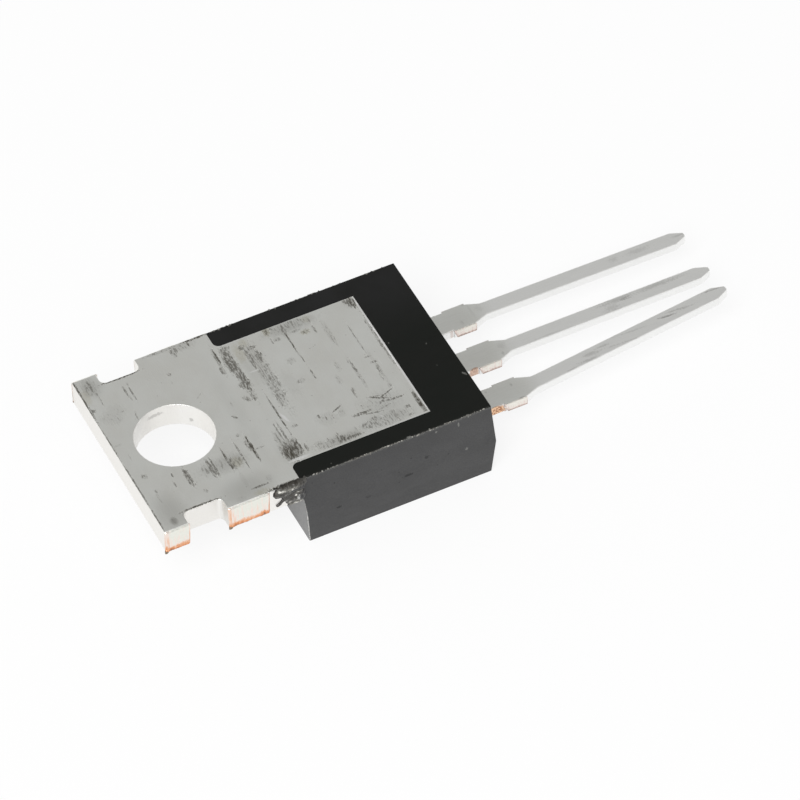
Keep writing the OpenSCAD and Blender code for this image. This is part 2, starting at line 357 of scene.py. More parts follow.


# %% [markdown]
# ### Rub marks and painted shade
#
# A handled plating carries short dark smudges. One mark is an ellipsoid: the Mapping node
# moves and turns the place so that the mark's rim has length 1, and a smooth step fades it
# out there. A streaky noise shifts the rim, so that the mark breaks into strokes, and a mark
# is moved a little by those under it, so that strokes that cross don't line up. The same
# ellipsoid also lays painted shade, and the painted dark reflection along the tab's end.

# %% Rub and shade mark group
VECTOR_ZERO = (0.0, 0.0, 0.0)
OVERLAP_SHIFT = (0.04, 0.03, 0.0)
rub_and_shade_mark, given, result = new_group(
    "rub_and_shade_mark",
    [("Place", "Vector", VECTOR_ZERO), ("Centre", "Vector", VECTOR_ZERO), ("Turn", "Vector", VECTOR_ZERO),
     ("Reach", "Vector", (1.0, 1.0, 1.0)), ("Strength", "Float", 1.0), ("Streaks", "Float", 0.0),
     ("Core", "Float", 0.6), ("Marks", "Float", 0.0)],
    [("Marks", "Float")],
)
shifted = add(
    rub_and_shade_mark, "VectorMath", {0: given["Marks"], 1: OVERLAP_SHIFT, 2: given["Place"]},
    operation="MULTIPLY_ADD",
)
local = add(
    rub_and_shade_mark, "Mapping",
    {"Vector": shifted.outputs["Vector"], "Location": given["Centre"], "Rotation": given["Turn"],
     "Scale": given["Reach"]},
    vector_type="TEXTURE",
)
from_centre = add(rub_and_shade_mark, "VectorMath", {0: local.outputs[0]}, operation="LENGTH").outputs["Value"]
ragged = plus(from_centre, given["Streaks"])
fading = ramp_value(ragged, 1.0, given["Core"])
rubbed_and_shaded = times(fading, given["Strength"])
rub_and_shade_mark.links.new(larger(rubbed_and_shaded, given["Marks"]), result["Marks"])
print("group", rub_and_shade_mark.name, "with", len(rub_and_shade_mark.nodes), "nodes")

# %% [markdown]
# ### Rolling grain
#
# Sheet metal keeps fine lines in the direction in which it was rolled, and a moulding keeps
# the grain of its mould. A noise that is squeezed across one direction gives both: Cycles
# says how many of its waves there are in a millimetre along each axis.

# %% Grain group
grain_group, given, result = new_group(
    "grain",
    [("Place", "Vector", VECTOR_ZERO), ("Cycles", "Vector", (1.0, 1.0, 1.0)), ("Low", "Float", 0.3),
     ("High", "Float", 0.7)],
    [("Grain", "Float")],
)
squeezed = add(grain_group, "VectorMath", {0: given["Place"], 1: given["Cycles"]}, operation="MULTIPLY")
grain_noise = add(
    grain_group, "TexNoise",
    {"Vector": squeezed.outputs["Vector"], "Scale": 1.0, "Detail": 3.0, "Roughness": 0.6},
)
stretched = add(
    grain_group, "MapRange",
    {"Value": grain_noise.outputs["Fac"], "From Min": given["Low"], "From Max": given["High"]},
)
grain_group.links.new(stretched.outputs["Result"], result["Grain"])
print("group", grain_group.name, "with", len(grain_group.nodes), "nodes")

# %% [markdown]
# ### Specks
#
# Dust and pits are small dots at random places. A Voronoi texture gives each cell a random
# colour: only cells whose value lies below the wanted share get a dot at their centre.

# %% Specks group
specks_group, given, result = new_group(
    "specks",
    [("Place", "Vector", VECTOR_ZERO), ("Cells", "Float", 2.0), ("Size", "Float", 0.2),
     ("Share", "Float", 0.2)],
    [("Specks", "Float")],
)
cells = add(specks_group, "TexVoronoi", {"Vector": given["Place"], "Scale": given["Cells"]}).outputs
dot = ramp_value(cells["Distance"], given["Size"], 0.0)
chance = add(specks_group, "SeparateColor", {0: cells["Color"]}).outputs[0]
chosen = reckon("LESS_THAN", chance, given["Share"])
specks_group.links.new(times(dot, chosen), result["Specks"])
print("group", specks_group.name, "with", len(specks_group.nodes), "nodes")

# %% [markdown]
# ### Worn and highlighted edges
#
# Handling polishes rounded edges, and rounded edges catch light: where a finish lightens them,
# that is partly wear and partly a painted highlight. On a part whose faces are nearly square to
# the axes, the normal's largest component is 1 on every face and less only on the roundings
# between them, so a smooth step down that component marks the edges without a painted mask.

# %% Edge wear and highlight group
edge_wear_and_highlight, given, result = new_group(
    "edge_wear_and_highlight",
    [("Start", "Float", 0.97), ("Full", "Float", 0.85)],
    [("Edge", "Float")],
)
facing = add(edge_wear_and_highlight, "TexCoord").outputs["Normal"]
facing = add(edge_wear_and_highlight, "VectorMath", {0: facing}, operation="ABSOLUTE").outputs["Vector"]
parts = add(edge_wear_and_highlight, "SeparateXYZ", {0: facing}).outputs
largest = larger(larger(parts["X"], parts["Y"]), parts["Z"])
edge_wear_and_highlight.links.new(ramp_value(largest, given["Start"], given["Full"]), result["Edge"])
print("group", edge_wear_and_highlight.name, "with", len(edge_wear_and_highlight.nodes), "nodes")


# %% Placing a list of marks
MARK_REACH = 0.62


def add_marks(tree, place, streaks, marks, z, z_reach=0.12, before=0.0, core=0.6):
    """Chain marks that lie at height z, each over those before it: rubs, stains and painted shade among
    them.

    A mark is (x, y, length in X, width in Y, strength). A turn in degrees may follow, and then
    a rise above z. Its rim reaches a little past half its length, because the streaks eat into
    it."""
    so_far = before
    for x, y, along, across, strength, *turn_and_rise in marks:
        turn, rise = (*turn_and_rise, 0.0, 0.0)[:2]
        so_far = use(
            tree, rub_and_shade_mark, Place=place, Centre=(x, y, z + rise), Turn=(0.0, 0.0, math.radians(turn)),
            Reach=(MARK_REACH * along, MARK_REACH * across, z_reach), Strength=strength, Streaks=streaks,
            Core=core, Marks=so_far,
        )["Marks"]
    return so_far


# %% [markdown]
# ## Tinned copper
#
# The header and the leads are stamped from copper and plated with matt tin: a bright, rough,
# slightly warm metal. A used one is rubbed in short strokes across the tab, stained at a few
# places, and darkened in broad soft patches; next to the moulding, on the leads' stems, that
# darkening is painted shade. The dark line along the tab's end edge is painted too: a dark
# reflection of the rolled edge. The tables below list those marks one by one, in millimetres
# on the mounting face, because each rub and stain sits where a tool or a neighbour touched it.

# %% Marks on the tab
# A painted dark reflection along the tab's rolled end edge, broken into dashes by the streaks.
END_RIM_DARK_REFLECTION = [
    (-4.2, tab_end_y - 0.04, 1.7, 0.09, 0.55), (-2.0, tab_end_y - 0.04, 3.2, 0.09, 0.55),
    (0.9, tab_end_y - 0.04, 2.2, 0.07, 0.5), (3.1, tab_end_y - 0.05, 1.7, 0.12, 0.75),
    (4.4, tab_end_y - 0.05, 1.2, 0.11, 0.7),
]
TAB_MARKS = [
    (-3.9, 2.0, 2.4, 1.7, 0.1), (-4.6, 0.8, 0.6, 3.0, 0.1), (-4.55, 2.1, 0.5, 0.36, 0.22),
    (-2.95, 2.15, 0.95, 0.12, 0.25), (-2.65, 2.1, 0.3, 0.16, 0.32), (-1.6, 2.2, 0.3, 0.26, 0.4, 30),
    (2.95, 2.6, 0.22, 0.24, 0.5), (3.7, 2.05, 1.3, 0.08, 0.42), (4.4, 2.15, 0.7, 0.16, 0.55),
    (4.0, 2.35, 0.1, 0.5, 0.3), (2.05, 1.95, 0.6, 0.6, 0.22, 20), (1.9, 1.0, 0.6, 0.1, 0.3, -10),
    (2.35, 1.5, 0.1, 0.3, 0.3), (3.4, 0.85, 0.75, 0.09, 0.5), (2.9, 0.8, 0.35, 0.07, 0.42),
    (3.1, 0.62, 0.95, 0.09, 0.5), (3.75, 0.6, 0.2, 0.1, 0.32), (3.4, -1.3, 0.2, 0.16, 0.5),
    (2.9, -1.2, 0.22, 0.1, 0.25), (-2.65, 1.2, 0.35, 0.09, 0.5), (-2.1, 1.08, 0.26, 0.11, 0.55),
    (-2.55, 0.5, 1.2, 0.24, 0.62), (-2.5, -0.35, 0.7, 0.32, 0.34), (-2.55, -0.6, 1.2, 0.22, 0.55),
    (-2.55, -0.76, 1.15, 0.12, 0.8), (-2.55, -1.1, 0.55, 0.45, 0.26), (-2.35, -1.43, 1.35, 0.1, 0.8),
    (-2.7, -1.55, 0.75, 0.26, 0.58), (-2.7, -1.88, 0.55, 0.32, 0.36), (-2.45, -2.12, 1.7, 0.09, 0.58),
    (-2.3, -2.72, 1.65, 0.14, 0.85), (-2.05, -2.6, 0.85, 0.2, 0.4), (-2.4, -3.0, 0.12, 0.5, 0.34),
    (-1.3, -2.45, 0.22, 0.22, 0.3), (-0.25, -2.8, 0.34, 0.13, 0.58, 40), (-3.6, 0.15, 0.28, 0.2, 0.3),
    (-4.45, -2.1, 0.12, 0.85, 0.55), (-4.2, -2.62, 0.4, 0.3, 0.24), (4.6, -2.05, 0.5, 0.36, 0.45),
    (4.75, -2.8, 0.4, 0.1, 0.6), (4.3, -2.0, 0.16, 0.2, 0.35), (0.5, -3.0, 0.3, 0.08, 0.3),
    (1.6, -1.9, 0.5, 0.07, 0.24, -50), (-4.75, -1.0, 0.3, 0.5, 0.18), (-3.7, -1.6, 1.0, 0.22, 0.16),
    (-0.3, 2.3, 0.5, 0.06, 0.22), (0.6, 2.45, 0.14, 0.34, 0.24),
    (-notch_inner_x + 0.03, 0.7, 0.15, 1.8, 0.9), (notch_inner_x - 0.03, 0.7, 0.15, 1.8, 0.9),
    (-4.62, notch_end_y - 0.03, 0.6, 0.08, 0.3), (-4.62, notch_start_y + 0.03, 0.6, 0.08, 0.25),
    (4.3, 2.2, 1.1, 0.7, 0.3), (2.5, 1.75, 0.8, 0.9, 0.16), (4.7, -2.5, 0.5, 1.2, 0.26),
    (4.9, -3.2, 0.16, 1.2, 0.8), (4.86, -1.8, 0.25, 2.2, 0.3), (2.3, 2.1, 0.7, 0.9, 0.2),
    (-4.94, -2.3, 0.08, 0.4, 0.7), (-2.55, -1.2, 1.0, 2.4, 0.22), (-4.9, -3.15, 0.24, 1.6, 1.0),
    (-4.6, 2.3, 0.7, 0.6, 0.14),
]
# Painted shade in the notches of the tab's sides.
NOTCH_SHADES = [
    (-4.75, notch_end_y, 2.0, 0.3, 0.16), (-notch_inner_x, 0.67, 0.3, 3.0, 0.06),
    (notch_inner_x, 0.67, 0.3, 3.0, 0.06),
]
SHADES = [
    (-4.55, 2.12, 0.72, 0.5, 0.5), (-4.0, 2.0, 2.6, 1.6, 0.21), (-4.3, -1.5, 1.8, 3.2, 0.26),
    (-2.55, -1.2, 1.2, 2.6, 0.14), (4.3, 2.15, 1.7, 1.2, 0.17), (-2.55, -1.85, 0.9, 0.7, 0.19),
    (-2.4, -1.48, 1.4, 0.34, 0.16), (0.0, -3.0, 8.0, 0.9, 0.07), (-4.6, 0.6, 0.7, 2.4, 0.1),
    (-3.28, -4.12, 1.7, 1.2, 0.26), (2.3, -4.9, 3.8, 1.2, 0.08), (-3.6, -6.6, 0.8, 2.6, 0.18),
    (-3.15, -8.9, 1.9, 2.8, 0.11), (3.55, -7.2, 1.1, 2.8, 0.2), (3.6, -10.3, 0.9, 0.6, 0.18),
    (-3.15, -10.45, 1.6, 0.36, 0.29), (2.4, -4.6, 3.2, 0.5, 0.1),
]
WALL_MARKS = [(1.25, -1.33, 0.22, 0.20, 0.5, 0, -0.9), (1.80, 0.20, 0.20, 0.75, 0.3, 0, -0.4)]
print(len(TAB_MARKS) + len(END_RIM_DARK_REFLECTION), "marks on the tab")

# %% Marks where the tab meets the pad, and on the pad
PAD_MARKS = [
    (-3.2, -4.2, 1.25, 0.9, 0.5), (2.2, -4.08, 3.6, 0.42, 0.42), (1.4, -5.15, 4.4, 0.6, 0.34),
    (-3.65, -6.3, 0.5, 2.2, 0.34), (-3.5, -8.7, 0.75, 2.4, 0.3), (-2.4, -8.9, 1.1, 1.8, 0.22),
    (3.6, -7.3, 0.6, 2.6, 0.26), (-0.6, -9.72, 2.4, 0.18, 0.22), (1.0, -10.48, 3.6, 0.18, 0.42),
    (3.65, -10.36, 0.7, 0.44, 0.7), (-0.4, -8.76, 2.0, 0.16, 0.3), (2.4, -8.68, 1.4, 0.24, 0.26),
    (3.1, -3.55, 1.8, 0.18, 0.4), (0.4, -5.85, 1.6, 0.6, 0.16), (-2.2, -6.4, 0.7, 0.9, 0.2),
    (-3.3, -4.1, 1.15, 0.75, 0.75), (-3.15, -4.5, 0.85, 0.36, 0.75), (-3.35, -4.85, 0.5, 0.14, 0.55),
    (-2.3, -3.95, 1.0, 0.3, 0.34), (-2.2, -4.3, 1.5, 0.12, 0.5), (-2.0, -4.14, 1.2, 0.09, 0.45),
    (-2.7, -4.56, 0.32, 0.26, 0.5, 40), (-0.9, -4.57, 2.8, 0.08, 0.72), (-1.95, -4.95, 0.16, 0.3, 0.45),
    (0.5, -3.75, 0.42, 0.26, 0.45, 45), (0.45, -4.05, 0.6, 0.13, 0.55), (1.6, -4.1, 1.6, 0.4, 0.64),
    (1.3, -3.98, 0.5, 0.5, 0.45), (2.8, -4.0, 1.8, 0.46, 0.64), (3.65, -4.1, 0.3, 0.5, 0.5),
    (3.4, -3.6, 1.0, 0.12, 0.8), (2.5, -3.46, 0.5, 0.15, 0.5), (2.6, -4.9, 1.5, 0.24, 0.5),
    (3.4, -4.8, 0.32, 0.3, 0.5), (-0.2, -5.0, 1.0, 0.2, 0.5), (0.0, -5.25, 0.3, 0.4, 0.42),
    (1.1, -5.3, 0.28, 0.42, 0.55), (1.6, -5.1, 0.28, 0.5, 0.38), (1.92, -5.38, 0.2, 0.32, 0.45),
    (2.6, -5.3, 0.85, 0.24, 0.55), (3.2, -5.2, 0.24, 0.42, 0.55), (0.8, -5.4, 0.8, 0.16, 0.38),
    (2.65, -5.45, 0.22, 0.08, 0.9), (-3.45, -5.4, 0.4, 0.6, 0.28), (-3.5, -5.9, 0.42, 0.11, 0.45),
    (-3.55, -6.3, 0.62, 0.12, 0.65), (-3.6, -6.5, 0.42, 0.22, 0.7), (-3.7, -6.9, 0.17, 1.1, 0.65),
    (-3.35, -7.25, 0.3, 0.1, 0.34), (-3.25, -6.4, 0.28, 0.08, 0.45), (-1.95, -6.1, 0.26, 0.16, 0.55),
    (-2.2, -6.35, 0.26, 0.09, 0.45), (-2.2, -6.65, 0.3, 0.08, 0.45), (-1.9, -7.0, 0.1, 0.5, 0.8, 22),
    (-2.2, -7.1, 0.5, 0.3, 0.24), (0.35, -6.3, 0.26, 0.4, 0.34), (1.65, -6.45, 0.4, 0.4, 0.28),
    (3.1, -6.45, 0.24, 0.36, 0.45), (3.1, -6.2, 0.42, 0.08, 0.45), (3.75, -6.2, 0.42, 0.3, 0.5),
    (3.8, -6.5, 0.3, 0.22, 0.38), (0.5, -6.98, 0.62, 0.09, 0.6), (1.6, -6.97, 0.8, 0.06, 0.45),
    (2.8, -6.93, 1.9, 0.07, 0.85), (3.45, -6.9, 0.9, 0.3, 0.36), (3.75, -6.97, 0.32, 0.08, 0.5),
    (3.2, -7.4, 0.16, 0.5, 0.38), (3.8, -7.4, 0.2, 0.42, 0.38), (2.95, -7.75, 0.26, 0.46, 0.4),
    (3.75, -7.8, 0.2, 0.32, 0.32), (2.9, -8.2, 0.5, 0.12, 0.45), (3.55, -8.2, 0.5, 0.2, 0.34),
    (-3.4, -7.9, 0.46, 0.9, 0.42), (-3.2, -8.2, 0.3, 0.42, 0.42), (-2.65, -7.9, 0.2, 0.9, 0.55),
    (-2.3, -8.05, 0.3, 0.09, 0.45), (-2.05, -9.35, 0.08, 0.9, 0.6, 20), (-2.35, -9.05, 0.07, 1.0, 0.52, 35),
    (-2.85, -8.35, 0.1, 1.0, 0.52, -12), (-2.75, -8.95, 0.08, 0.8, 0.45, 10),
    (-1.4, -8.1, 0.62, 0.12, 0.45), (-1.2, -8.16, 0.3, 0.15, 0.38), (-0.4, -7.85, 0.62, 0.2, 0.28),
    (0.4, -8.15, 0.62, 0.26, 0.24), (-2.15, -8.95, 0.1, 0.95, 0.7, -28),
    (-1.98, -8.8, 0.07, 0.75, 0.5, -14), (-2.45, -9.2, 0.12, 0.62, 0.48, -10), (-1.0, -8.8, 0.5, 0.1, 0.4),
    (0.0, -8.76, 0.95, 0.12, 0.48), (0.45, -8.68, 0.22, 0.11, 0.34), (2.0, -8.7, 0.85, 0.2, 0.34),
    (2.9, -8.75, 0.42, 0.09, 0.24), (-3.5, -9.3, 0.4, 0.8, 0.34), (-3.2, -9.1, 0.3, 0.32, 0.38),
    (-2.5, -9.6, 0.14, 0.85, 0.58), (-3.2, -9.85, 0.2, 0.32, 0.45), (-3.7, -9.8, 0.16, 0.42, 0.34),
    (-1.7, -9.7, 0.3, 0.2, 0.38), (-0.6, -9.72, 0.75, 0.2, 0.45), (-0.1, -9.7, 0.14, 0.32, 0.58),
    (0.3, -9.6, 0.12, 0.32, 0.45), (-1.1, -9.6, 0.52, 0.08, 0.38), (1.6, -9.62, 2.2, 0.07, 0.4),
    (-3.15, -10.42, 1.3, 0.2, 0.7), (-3.6, -10.5, 0.42, 0.15, 0.66), (-0.2, -10.52, 1.1, 0.09, 0.62),
    (1.5, -10.52, 1.3, 0.09, 0.62), (2.2, -10.45, 0.42, 0.13, 0.45), (3.6, -10.4, 0.7, 0.25, 0.8),
    (3.75, -10.15, 0.32, 0.3, 0.45),
]
YELLOW_STAINS = [
    (-4.8, -2.0, 0.34, 0.7, 0.6), (-2.7, -1.75, 0.6, 0.5, 0.55), (3.85, 2.55, 0.9, 0.4, 0.45),
    (3.1, -4.6, 1.1, 0.45, 0.5), (3.6, -5.0, 0.5, 0.4, 0.45), (3.75, -6.2, 0.5, 0.34, 0.7),
    (2.95, -7.75, 0.3, 0.5, 0.6), (3.65, -8.1, 0.4, 0.4, 0.4),
]
BRIGHT_FLAKES = [
    (-1.3, -4.74, 0.66, 0.13, 1.0, 15), (-3.78, -4.3, 0.16, 1.0, 0.7), (1.85, -4.75, 0.08, 0.5, 0.6),
    (-pad_half_width + 0.03, -9.6, 0.07, 2.2, 0.5), (pad_half_width - 0.03, -4.6, 0.07, 1.6, 0.4),
    (0.0, pad_end_y + 0.05, 8.0, 0.1, 1.0), (-3.2, -8.6, 0.2, 0.05, 0.5, 30), (-0.2, -9.95, 0.5, 0.04, 0.4),
    (0.35, -10.6, 0.3, 0.08, 0.7),
]
print(len(PAD_MARKS), "marks on the pad")
print(len(YELLOW_STAINS), "stains,", len(BRIGHT_FLAKES), "bright flakes")

# %% Marks on the leads
MIDDLE_MARKS = [
    (-0.35, -15.95, 0.26, 0.16, 0.4), (0.12, -22.35, 0.24, 0.8, 0.7), (0.18, -22.1, 0.34, 2.4, 0.4),
    (-0.15, -21.6, 0.4, 0.9, 0.3), (0.18, -24.0, 0.3, 2.6, 0.4), (-0.3, -18.3, 0.12, 1.4, 0.2),
    (0.1, -16.1, 0.5, 0.4, 0.24),
]
GATE_MARKS = [
    (-2.62, -19.4, 0.16, 1.6, 0.4, -5), (-2.46, -21.5, 0.14, 2.6, 0.34, -5),
    (-1.96, -23.4, 0.14, 1.0, 0.8, -5), (-1.55, -26.0, 0.1, 1.4, 0.6, -5),
    (-1.92, -14.05, 0.1, 0.8, 0.95, 0), (-2.15, -14.2, 0.16, 0.11, 0.4, 0),
    (-2.25, -15.4, 0.2, 0.12, 0.5, 0), (-3.16, -15.45, 0.14, 0.3, 0.75, 0),
    (-2.72, -18.3, 0.12, 0.7, 0.34, 0), (-2.3, -19.4, 0.26, 0.9, 0.42, 0),
    (-2.16, -20.0, 0.16, 0.9, 0.36, 0), (-1.98, -21.5, 0.12, 2.0, 0.26, -5),
    (-1.84, -24.1, 0.14, 1.6, 0.5, -5),
]
gate_points = corners(GATE_LEAD)
bend_y = stub_end_y - 0.67
gate_slope = (gate_points[:, 2].max() - lead_back_z) / (bend_y - gate_points[:, 1].min())
GATE_MARKS = [mark + (gate_slope * max(bend_y - mark[1], 0.0),) for mark in GATE_MARKS]
MAIN_MARKS = [
    (2.6, -15.82, 1.2, 0.14, 0.14), (3.14, -15.72, 0.15, 0.32, 0.34), (2.48, -23.0, 0.34, 0.5, 0.26),
    (2.48, -24.2, 0.3, 1.4, 0.26), (2.2, -15.15, 0.26, 0.2, 0.26), (2.46, -26.3, 0.16, 0.7, 0.3),
    (2.6, -16.2, 0.5, 0.4, 0.2),
]
# Painted shade on the three lead stems, next to where they leave the moulding.
STEM_SHADES = [(axis, stub_start_y - 0.4, 2.4, 3.2, 0.14, 0, lead_back_z) for axis in lead_axes.values()]
STEM_HALF_WIDTH = stub_half_width - 0.02
COPPER_PATCHES = {
    GATE_LEAD: [(-pitch - STEM_HALF_WIDTH, -14.18, 0.16, 0.95, 1.0, 0)],
    HEADER: [(-STEM_HALF_WIDTH, -14.36, 0.16, 0.46, 0.75, 0)],
    MAIN_LEAD: [(pitch - STEM_HALF_WIDTH, -14.50, 0.10, 0.14, 0.3, 0)],
}
print(len(MIDDLE_MARKS) + len(GATE_MARKS) + len(MAIN_MARKS), "marks on the leads")

# %% [markdown]
# The finish itself: a fully metallic shader whose colour starts from the tin, is mottled by
# clouds and grain, and is then tinted by the stains, darkened by the marks and lightened by
# the flakes. Rubbed places are rougher. Fine rolling lines and the marks themselves also feed
# the bump, so that they catch the light. Bare copper shows where the plating was torn off.

# %% Tinned copper
TIN = srgb(240, 241, 236)
TIN_WARM = srgb(235, 235, 229)
# Upright faces have tones of their own: painted light, for how bright they look.
TIN_SIDE_PAINTED_LIGHT = srgb(245, 243, 239)
BLADE_TONE = srgb(249, 249, 246)
BLADE_SIDE_PAINTED_LIGHT = srgb(246, 246, 245)
RUBBED_TIN_AND_SHADE = srgb(93, 89, 80)
STAINED_TIN = srgb(206, 200, 172)
# Fresh tin for the bright flakes, and for a painted highlight on rounded edges.
FRESH_TIN_AND_HIGHLIGHT = srgb(254, 254, 252)
LINE_TONE = (0.55, 0.55, 0.53, 1.0)
COPPER = srgb(240, 202, 168)
BROWN_COPPER = srgb(172, 122, 92)
ROLLING_LINES = (1.3, 15.0, 15.0)
DRAWN_LINES = (15.0, 1.3, 15.0)
TIN_ROUGHNESS = 0.40
TIN_RELIEF = 0.0022
FLECKS_FROM, FLECKS_ALL = 0.70, 0.44
FLECK_SOFTNESS = 0.13
HALO_SHARE = 0.38


def new_finish(name):
    """A new material with one Principled shader, then its tree and that shader."""
    material = bpy.data.materials.new(name)
    material.use_nodes = True
    return material, material.node_tree, material.node_tree.nodes["Principled BSDF"]


def link_finish(tree, shader, colour, roughness, relief, relief_mm):
    """Feed the shader its colour, its roughness, and a bump from a relief of this height in mm."""
    tree.links.new(colour, shader.inputs["Base Color"])
    tree.links.new(roughness, shader.inputs["Roughness"])
    bump = add(tree, "Bump", {"Strength": 1.0, "Distance": relief_mm * MM, "Height": relief})
    tree.links.new(bump.outputs["Normal"], shader.inputs["Normal"])


def rubbed_and_shaded_metal(tree, place, marked, lines, crumbs, flakes_noise):
    """How dark the marks make the sheet: an even halo, ragged flecks within it, and loose dots."""
    spread = plus(times(flakes_noise, 0.50), times(lines, 0.25))
    spread = plus(spread, times(crumbs, 0.25))
    needed = ramp_value(marked, 0.0, 0.6, FLECKS_FROM, FLECKS_ALL)
    above = minus(spread, needed)
    flecks = ramp_value(above, -FLECK_SOFTNESS, FLECK_SOFTNESS)
    flecks = times(flecks, ramp_value(marked, 0.08, 0.30))
    halo = times(marked, HALO_SHARE)
    core = times(flecks, plus(times(marked, 0.38), 0.34))
    on_metal = plus(halo, core, clamp=True)
    dots = use(tree, specks_group, Place=place, Cells=2.6, Size=0.13, Share=0.5)["Specks"]
    return larger(on_metal, times(dots, 0.40))


def tin_sides(tree, place, streaks, crumbs, on_lead, wall_marks):
    """The colour of the plating on upright faces: a tone of their own, painted light for how bright they
    look, with the rub marks of the hole's walls and painted shade in the notches.
    """
    side_tone = blend(on_lead, TIN_SIDE_PAINTED_LIGHT, BLADE_SIDE_PAINTED_LIGHT)
    side_colour = blend(times(crumbs, 0.12), side_tone, TIN_WARM)
    if wall_marks:
        on_wall = add_marks(tree, place, streaks, wall_marks, 0.0)
        on_wall = add_marks(tree, place, 0.0, NOTCH_SHADES, tab_floor_z / 2, z_reach=2.0, before=on_wall)
        side_colour = blend(on_wall, side_colour, RUBBED_TIN_AND_SHADE)
    return side_colour


def torn_plating(tree, place, streaks, crumbs, patches, colour):
    """The colour with bare copper over it where the cutter tore the plating off a lead's side."""
    lead_middle_z = (lead_front_z + lead_back_z) / 2
    torn = add_marks(tree, place, times(streaks, 0.5), patches, lead_middle_z, z_reach=0.42)
    pale = times(ramp_value(torn, 0.55, 0.95), ramp_value(crumbs, 0.75, 0.35))
    bare = blend(pale, BROWN_COPPER, COPPER)
    return blend(torn, colour, bare)


def tinned_copper(name, marks, copper, stains=(), flakes=(), wall_marks=(), lead_marks=()):
    """Matt tin over copper. Marks lie on the mounting face, lead marks on the leads' back face."""
    material, tree, shader = new_finish(name)
    place = position_mm(tree)
    along_y = add(tree, "SeparateXYZ", {0: place}).outputs["Y"]
    facing_up = add(tree, "SeparateXYZ", {0: add(tree, "TexCoord").outputs["Normal"]}).outputs["Z"]
    on_lead = ramp_value(along_y, parting_end_y + 0.3, parting_end_y)
    rolled = use(tree, grain_group, Place=place, Cycles=ROLLING_LINES, Low=0.35, High=0.65)["Grain"]
    drawn = use(tree, grain_group, Place=place, Cycles=DRAWN_LINES, Low=0.35, High=0.65)["Grain"]
    lines = add(tree, "Mix", {0: on_lead, 2: rolled, 3: drawn}).outputs[0]
    clouds = use(tree, grain_group, Place=place, Cycles=(0.35, 0.5, 0.5), Low=0.36, High=0.64)["Grain"]
    crumbs = use(tree, grain_group, Place=place, Cycles=(8.0, 12.0, 12.0), Low=0.36, High=0.64)["Grain"]
    flakes_noise = use(tree, grain_group, Place=place, Cycles=(4.0, 12.0, 12.0), Low=0.3, High=0.7)["Grain"]
    streaks = minus(plus(times(lines, 0.4), times(crumbs, 0.5)), 0.50)

    marked = add_marks(tree, place, streaks, marks, 0.0)
    marked = add_marks(tree, place, streaks, lead_marks, lead_back_z, before=marked, core=0.1)
    shaded = add_marks(tree, place, 0.0, SHADES + STEM_SHADES, 0.0, core=0.1)
    on_metal = rubbed_and_shaded_metal(tree, place, marked, lines, crumbs, flakes_noise)
    on_blade = times(marked, 0.6)
    rubbed_and_shaded = add(tree, "Mix", {0: on_lead, 2: on_metal, 3: on_blade}).outputs[0]
    rubbed_and_shaded = larger(rubbed_and_shaded, plus(shaded, times(rubbed_and_shaded, 0.8)))

    edge = use(tree, edge_wear_and_highlight, Start=0.96, Full=0.80)["Edge"]
    colour = blend(clouds, TIN, TIN_WARM)
    blade = ramp_value(along_y, stub_start_y - 0.9, stub_end_y - 1.2)
    colour = blend(blade, colour, BLADE_TONE)
    colour = blend(times(lines, 0.10), colour, LINE_TONE)
    if stains:
        stained = add_marks(tree, place, streaks, stains, 0.0)
        stained = times(stained, plus(times(crumbs, 0.6), 0.25))
        colour = blend(stained, colour, STAINED_TIN)
    # The rubbed colour also carries the painted shade of the stems and the notches, and the painted dark
    # reflection of the end edge.
    colour = blend(rubbed_and_shaded, colour, RUBBED_TIN_AND_SHADE)
    if flakes:
        bright = add_marks(tree, place, times(streaks, 0.5), flakes, 0.0, z_reach=0.08)
        colour = blend(bright, colour, FRESH_TIN_AND_HIGHLIGHT)
    # Painted light: faces that turn away from up take the side tones.
    side = ramp_value(facing_up, 0.75, 0.25)
    colour = blend(side, colour, tin_sides(tree, place, streaks, crumbs, on_lead, wall_marks))
    # Rounded edges lightened towards fresh tin: partly wear, partly a painted highlight.
    colour = blend(times(edge, 0.3), colour, FRESH_TIN_AND_HIGHLIGHT)
    colour = torn_plating(tree, place, streaks, crumbs, copper, colour)

    shader.inputs["Metallic"].default_value = 1.0
    roughness = stretch(lines, TIN_ROUGHNESS - 0.05, TIN_ROUGHNESS + 0.05)
    roughness = plus(roughness, times(rubbed_and_shaded, 0.15))
    relief = plus(times(lines, 0.5), times(crumbs, 0.6))
    relief = minus(relief, times(rubbed_and_shaded, 5.0))
    link_finish(tree, shader, colour, roughness, relief, TIN_RELIEF)
    return material


header_finish = tinned_copper(
    "tinned_header", END_RIM_DARK_REFLECTION + TAB_MARKS + PAD_MARKS, COPPER_PATCHES[HEADER], YELLOW_STAINS, BRIGHT_FLAKES,
    WALL_MARKS, MIDDLE_MARKS,
)
gate_finish = tinned_copper("tinned_gate_lead", [], COPPER_PATCHES[GATE_LEAD], lead_marks=GATE_MARKS)
main_finish = tinned_copper("tinned_main_lead", [], COPPER_PATCHES[MAIN_LEAD], lead_marks=MAIN_MARKS)
print("header finish:", len(header_finish.node_tree.nodes), "nodes")

# %% [markdown]
# ## Moulding resin
#
# Black epoxy filled with powdered quartz. The mould's polished face left the mounting side
# smooth and nearly black; its eroded walls left the sides matt, so they look dark grey. The
# height tells the two apart. Small chips along the edges show the paler filler.

# %% Moulding resin
RESIN_SIDE = srgb(62, 62, 63)
RESIN_SIDE_DARK = srgb(56, 56, 57)
# A painted reflection: the grey that the face at the tab's end shows at a grazing view.
RESIN_TAB_END_REFLECTION = srgb(120, 120, 120)
RESIN_BACK = srgb(6, 10, 5)
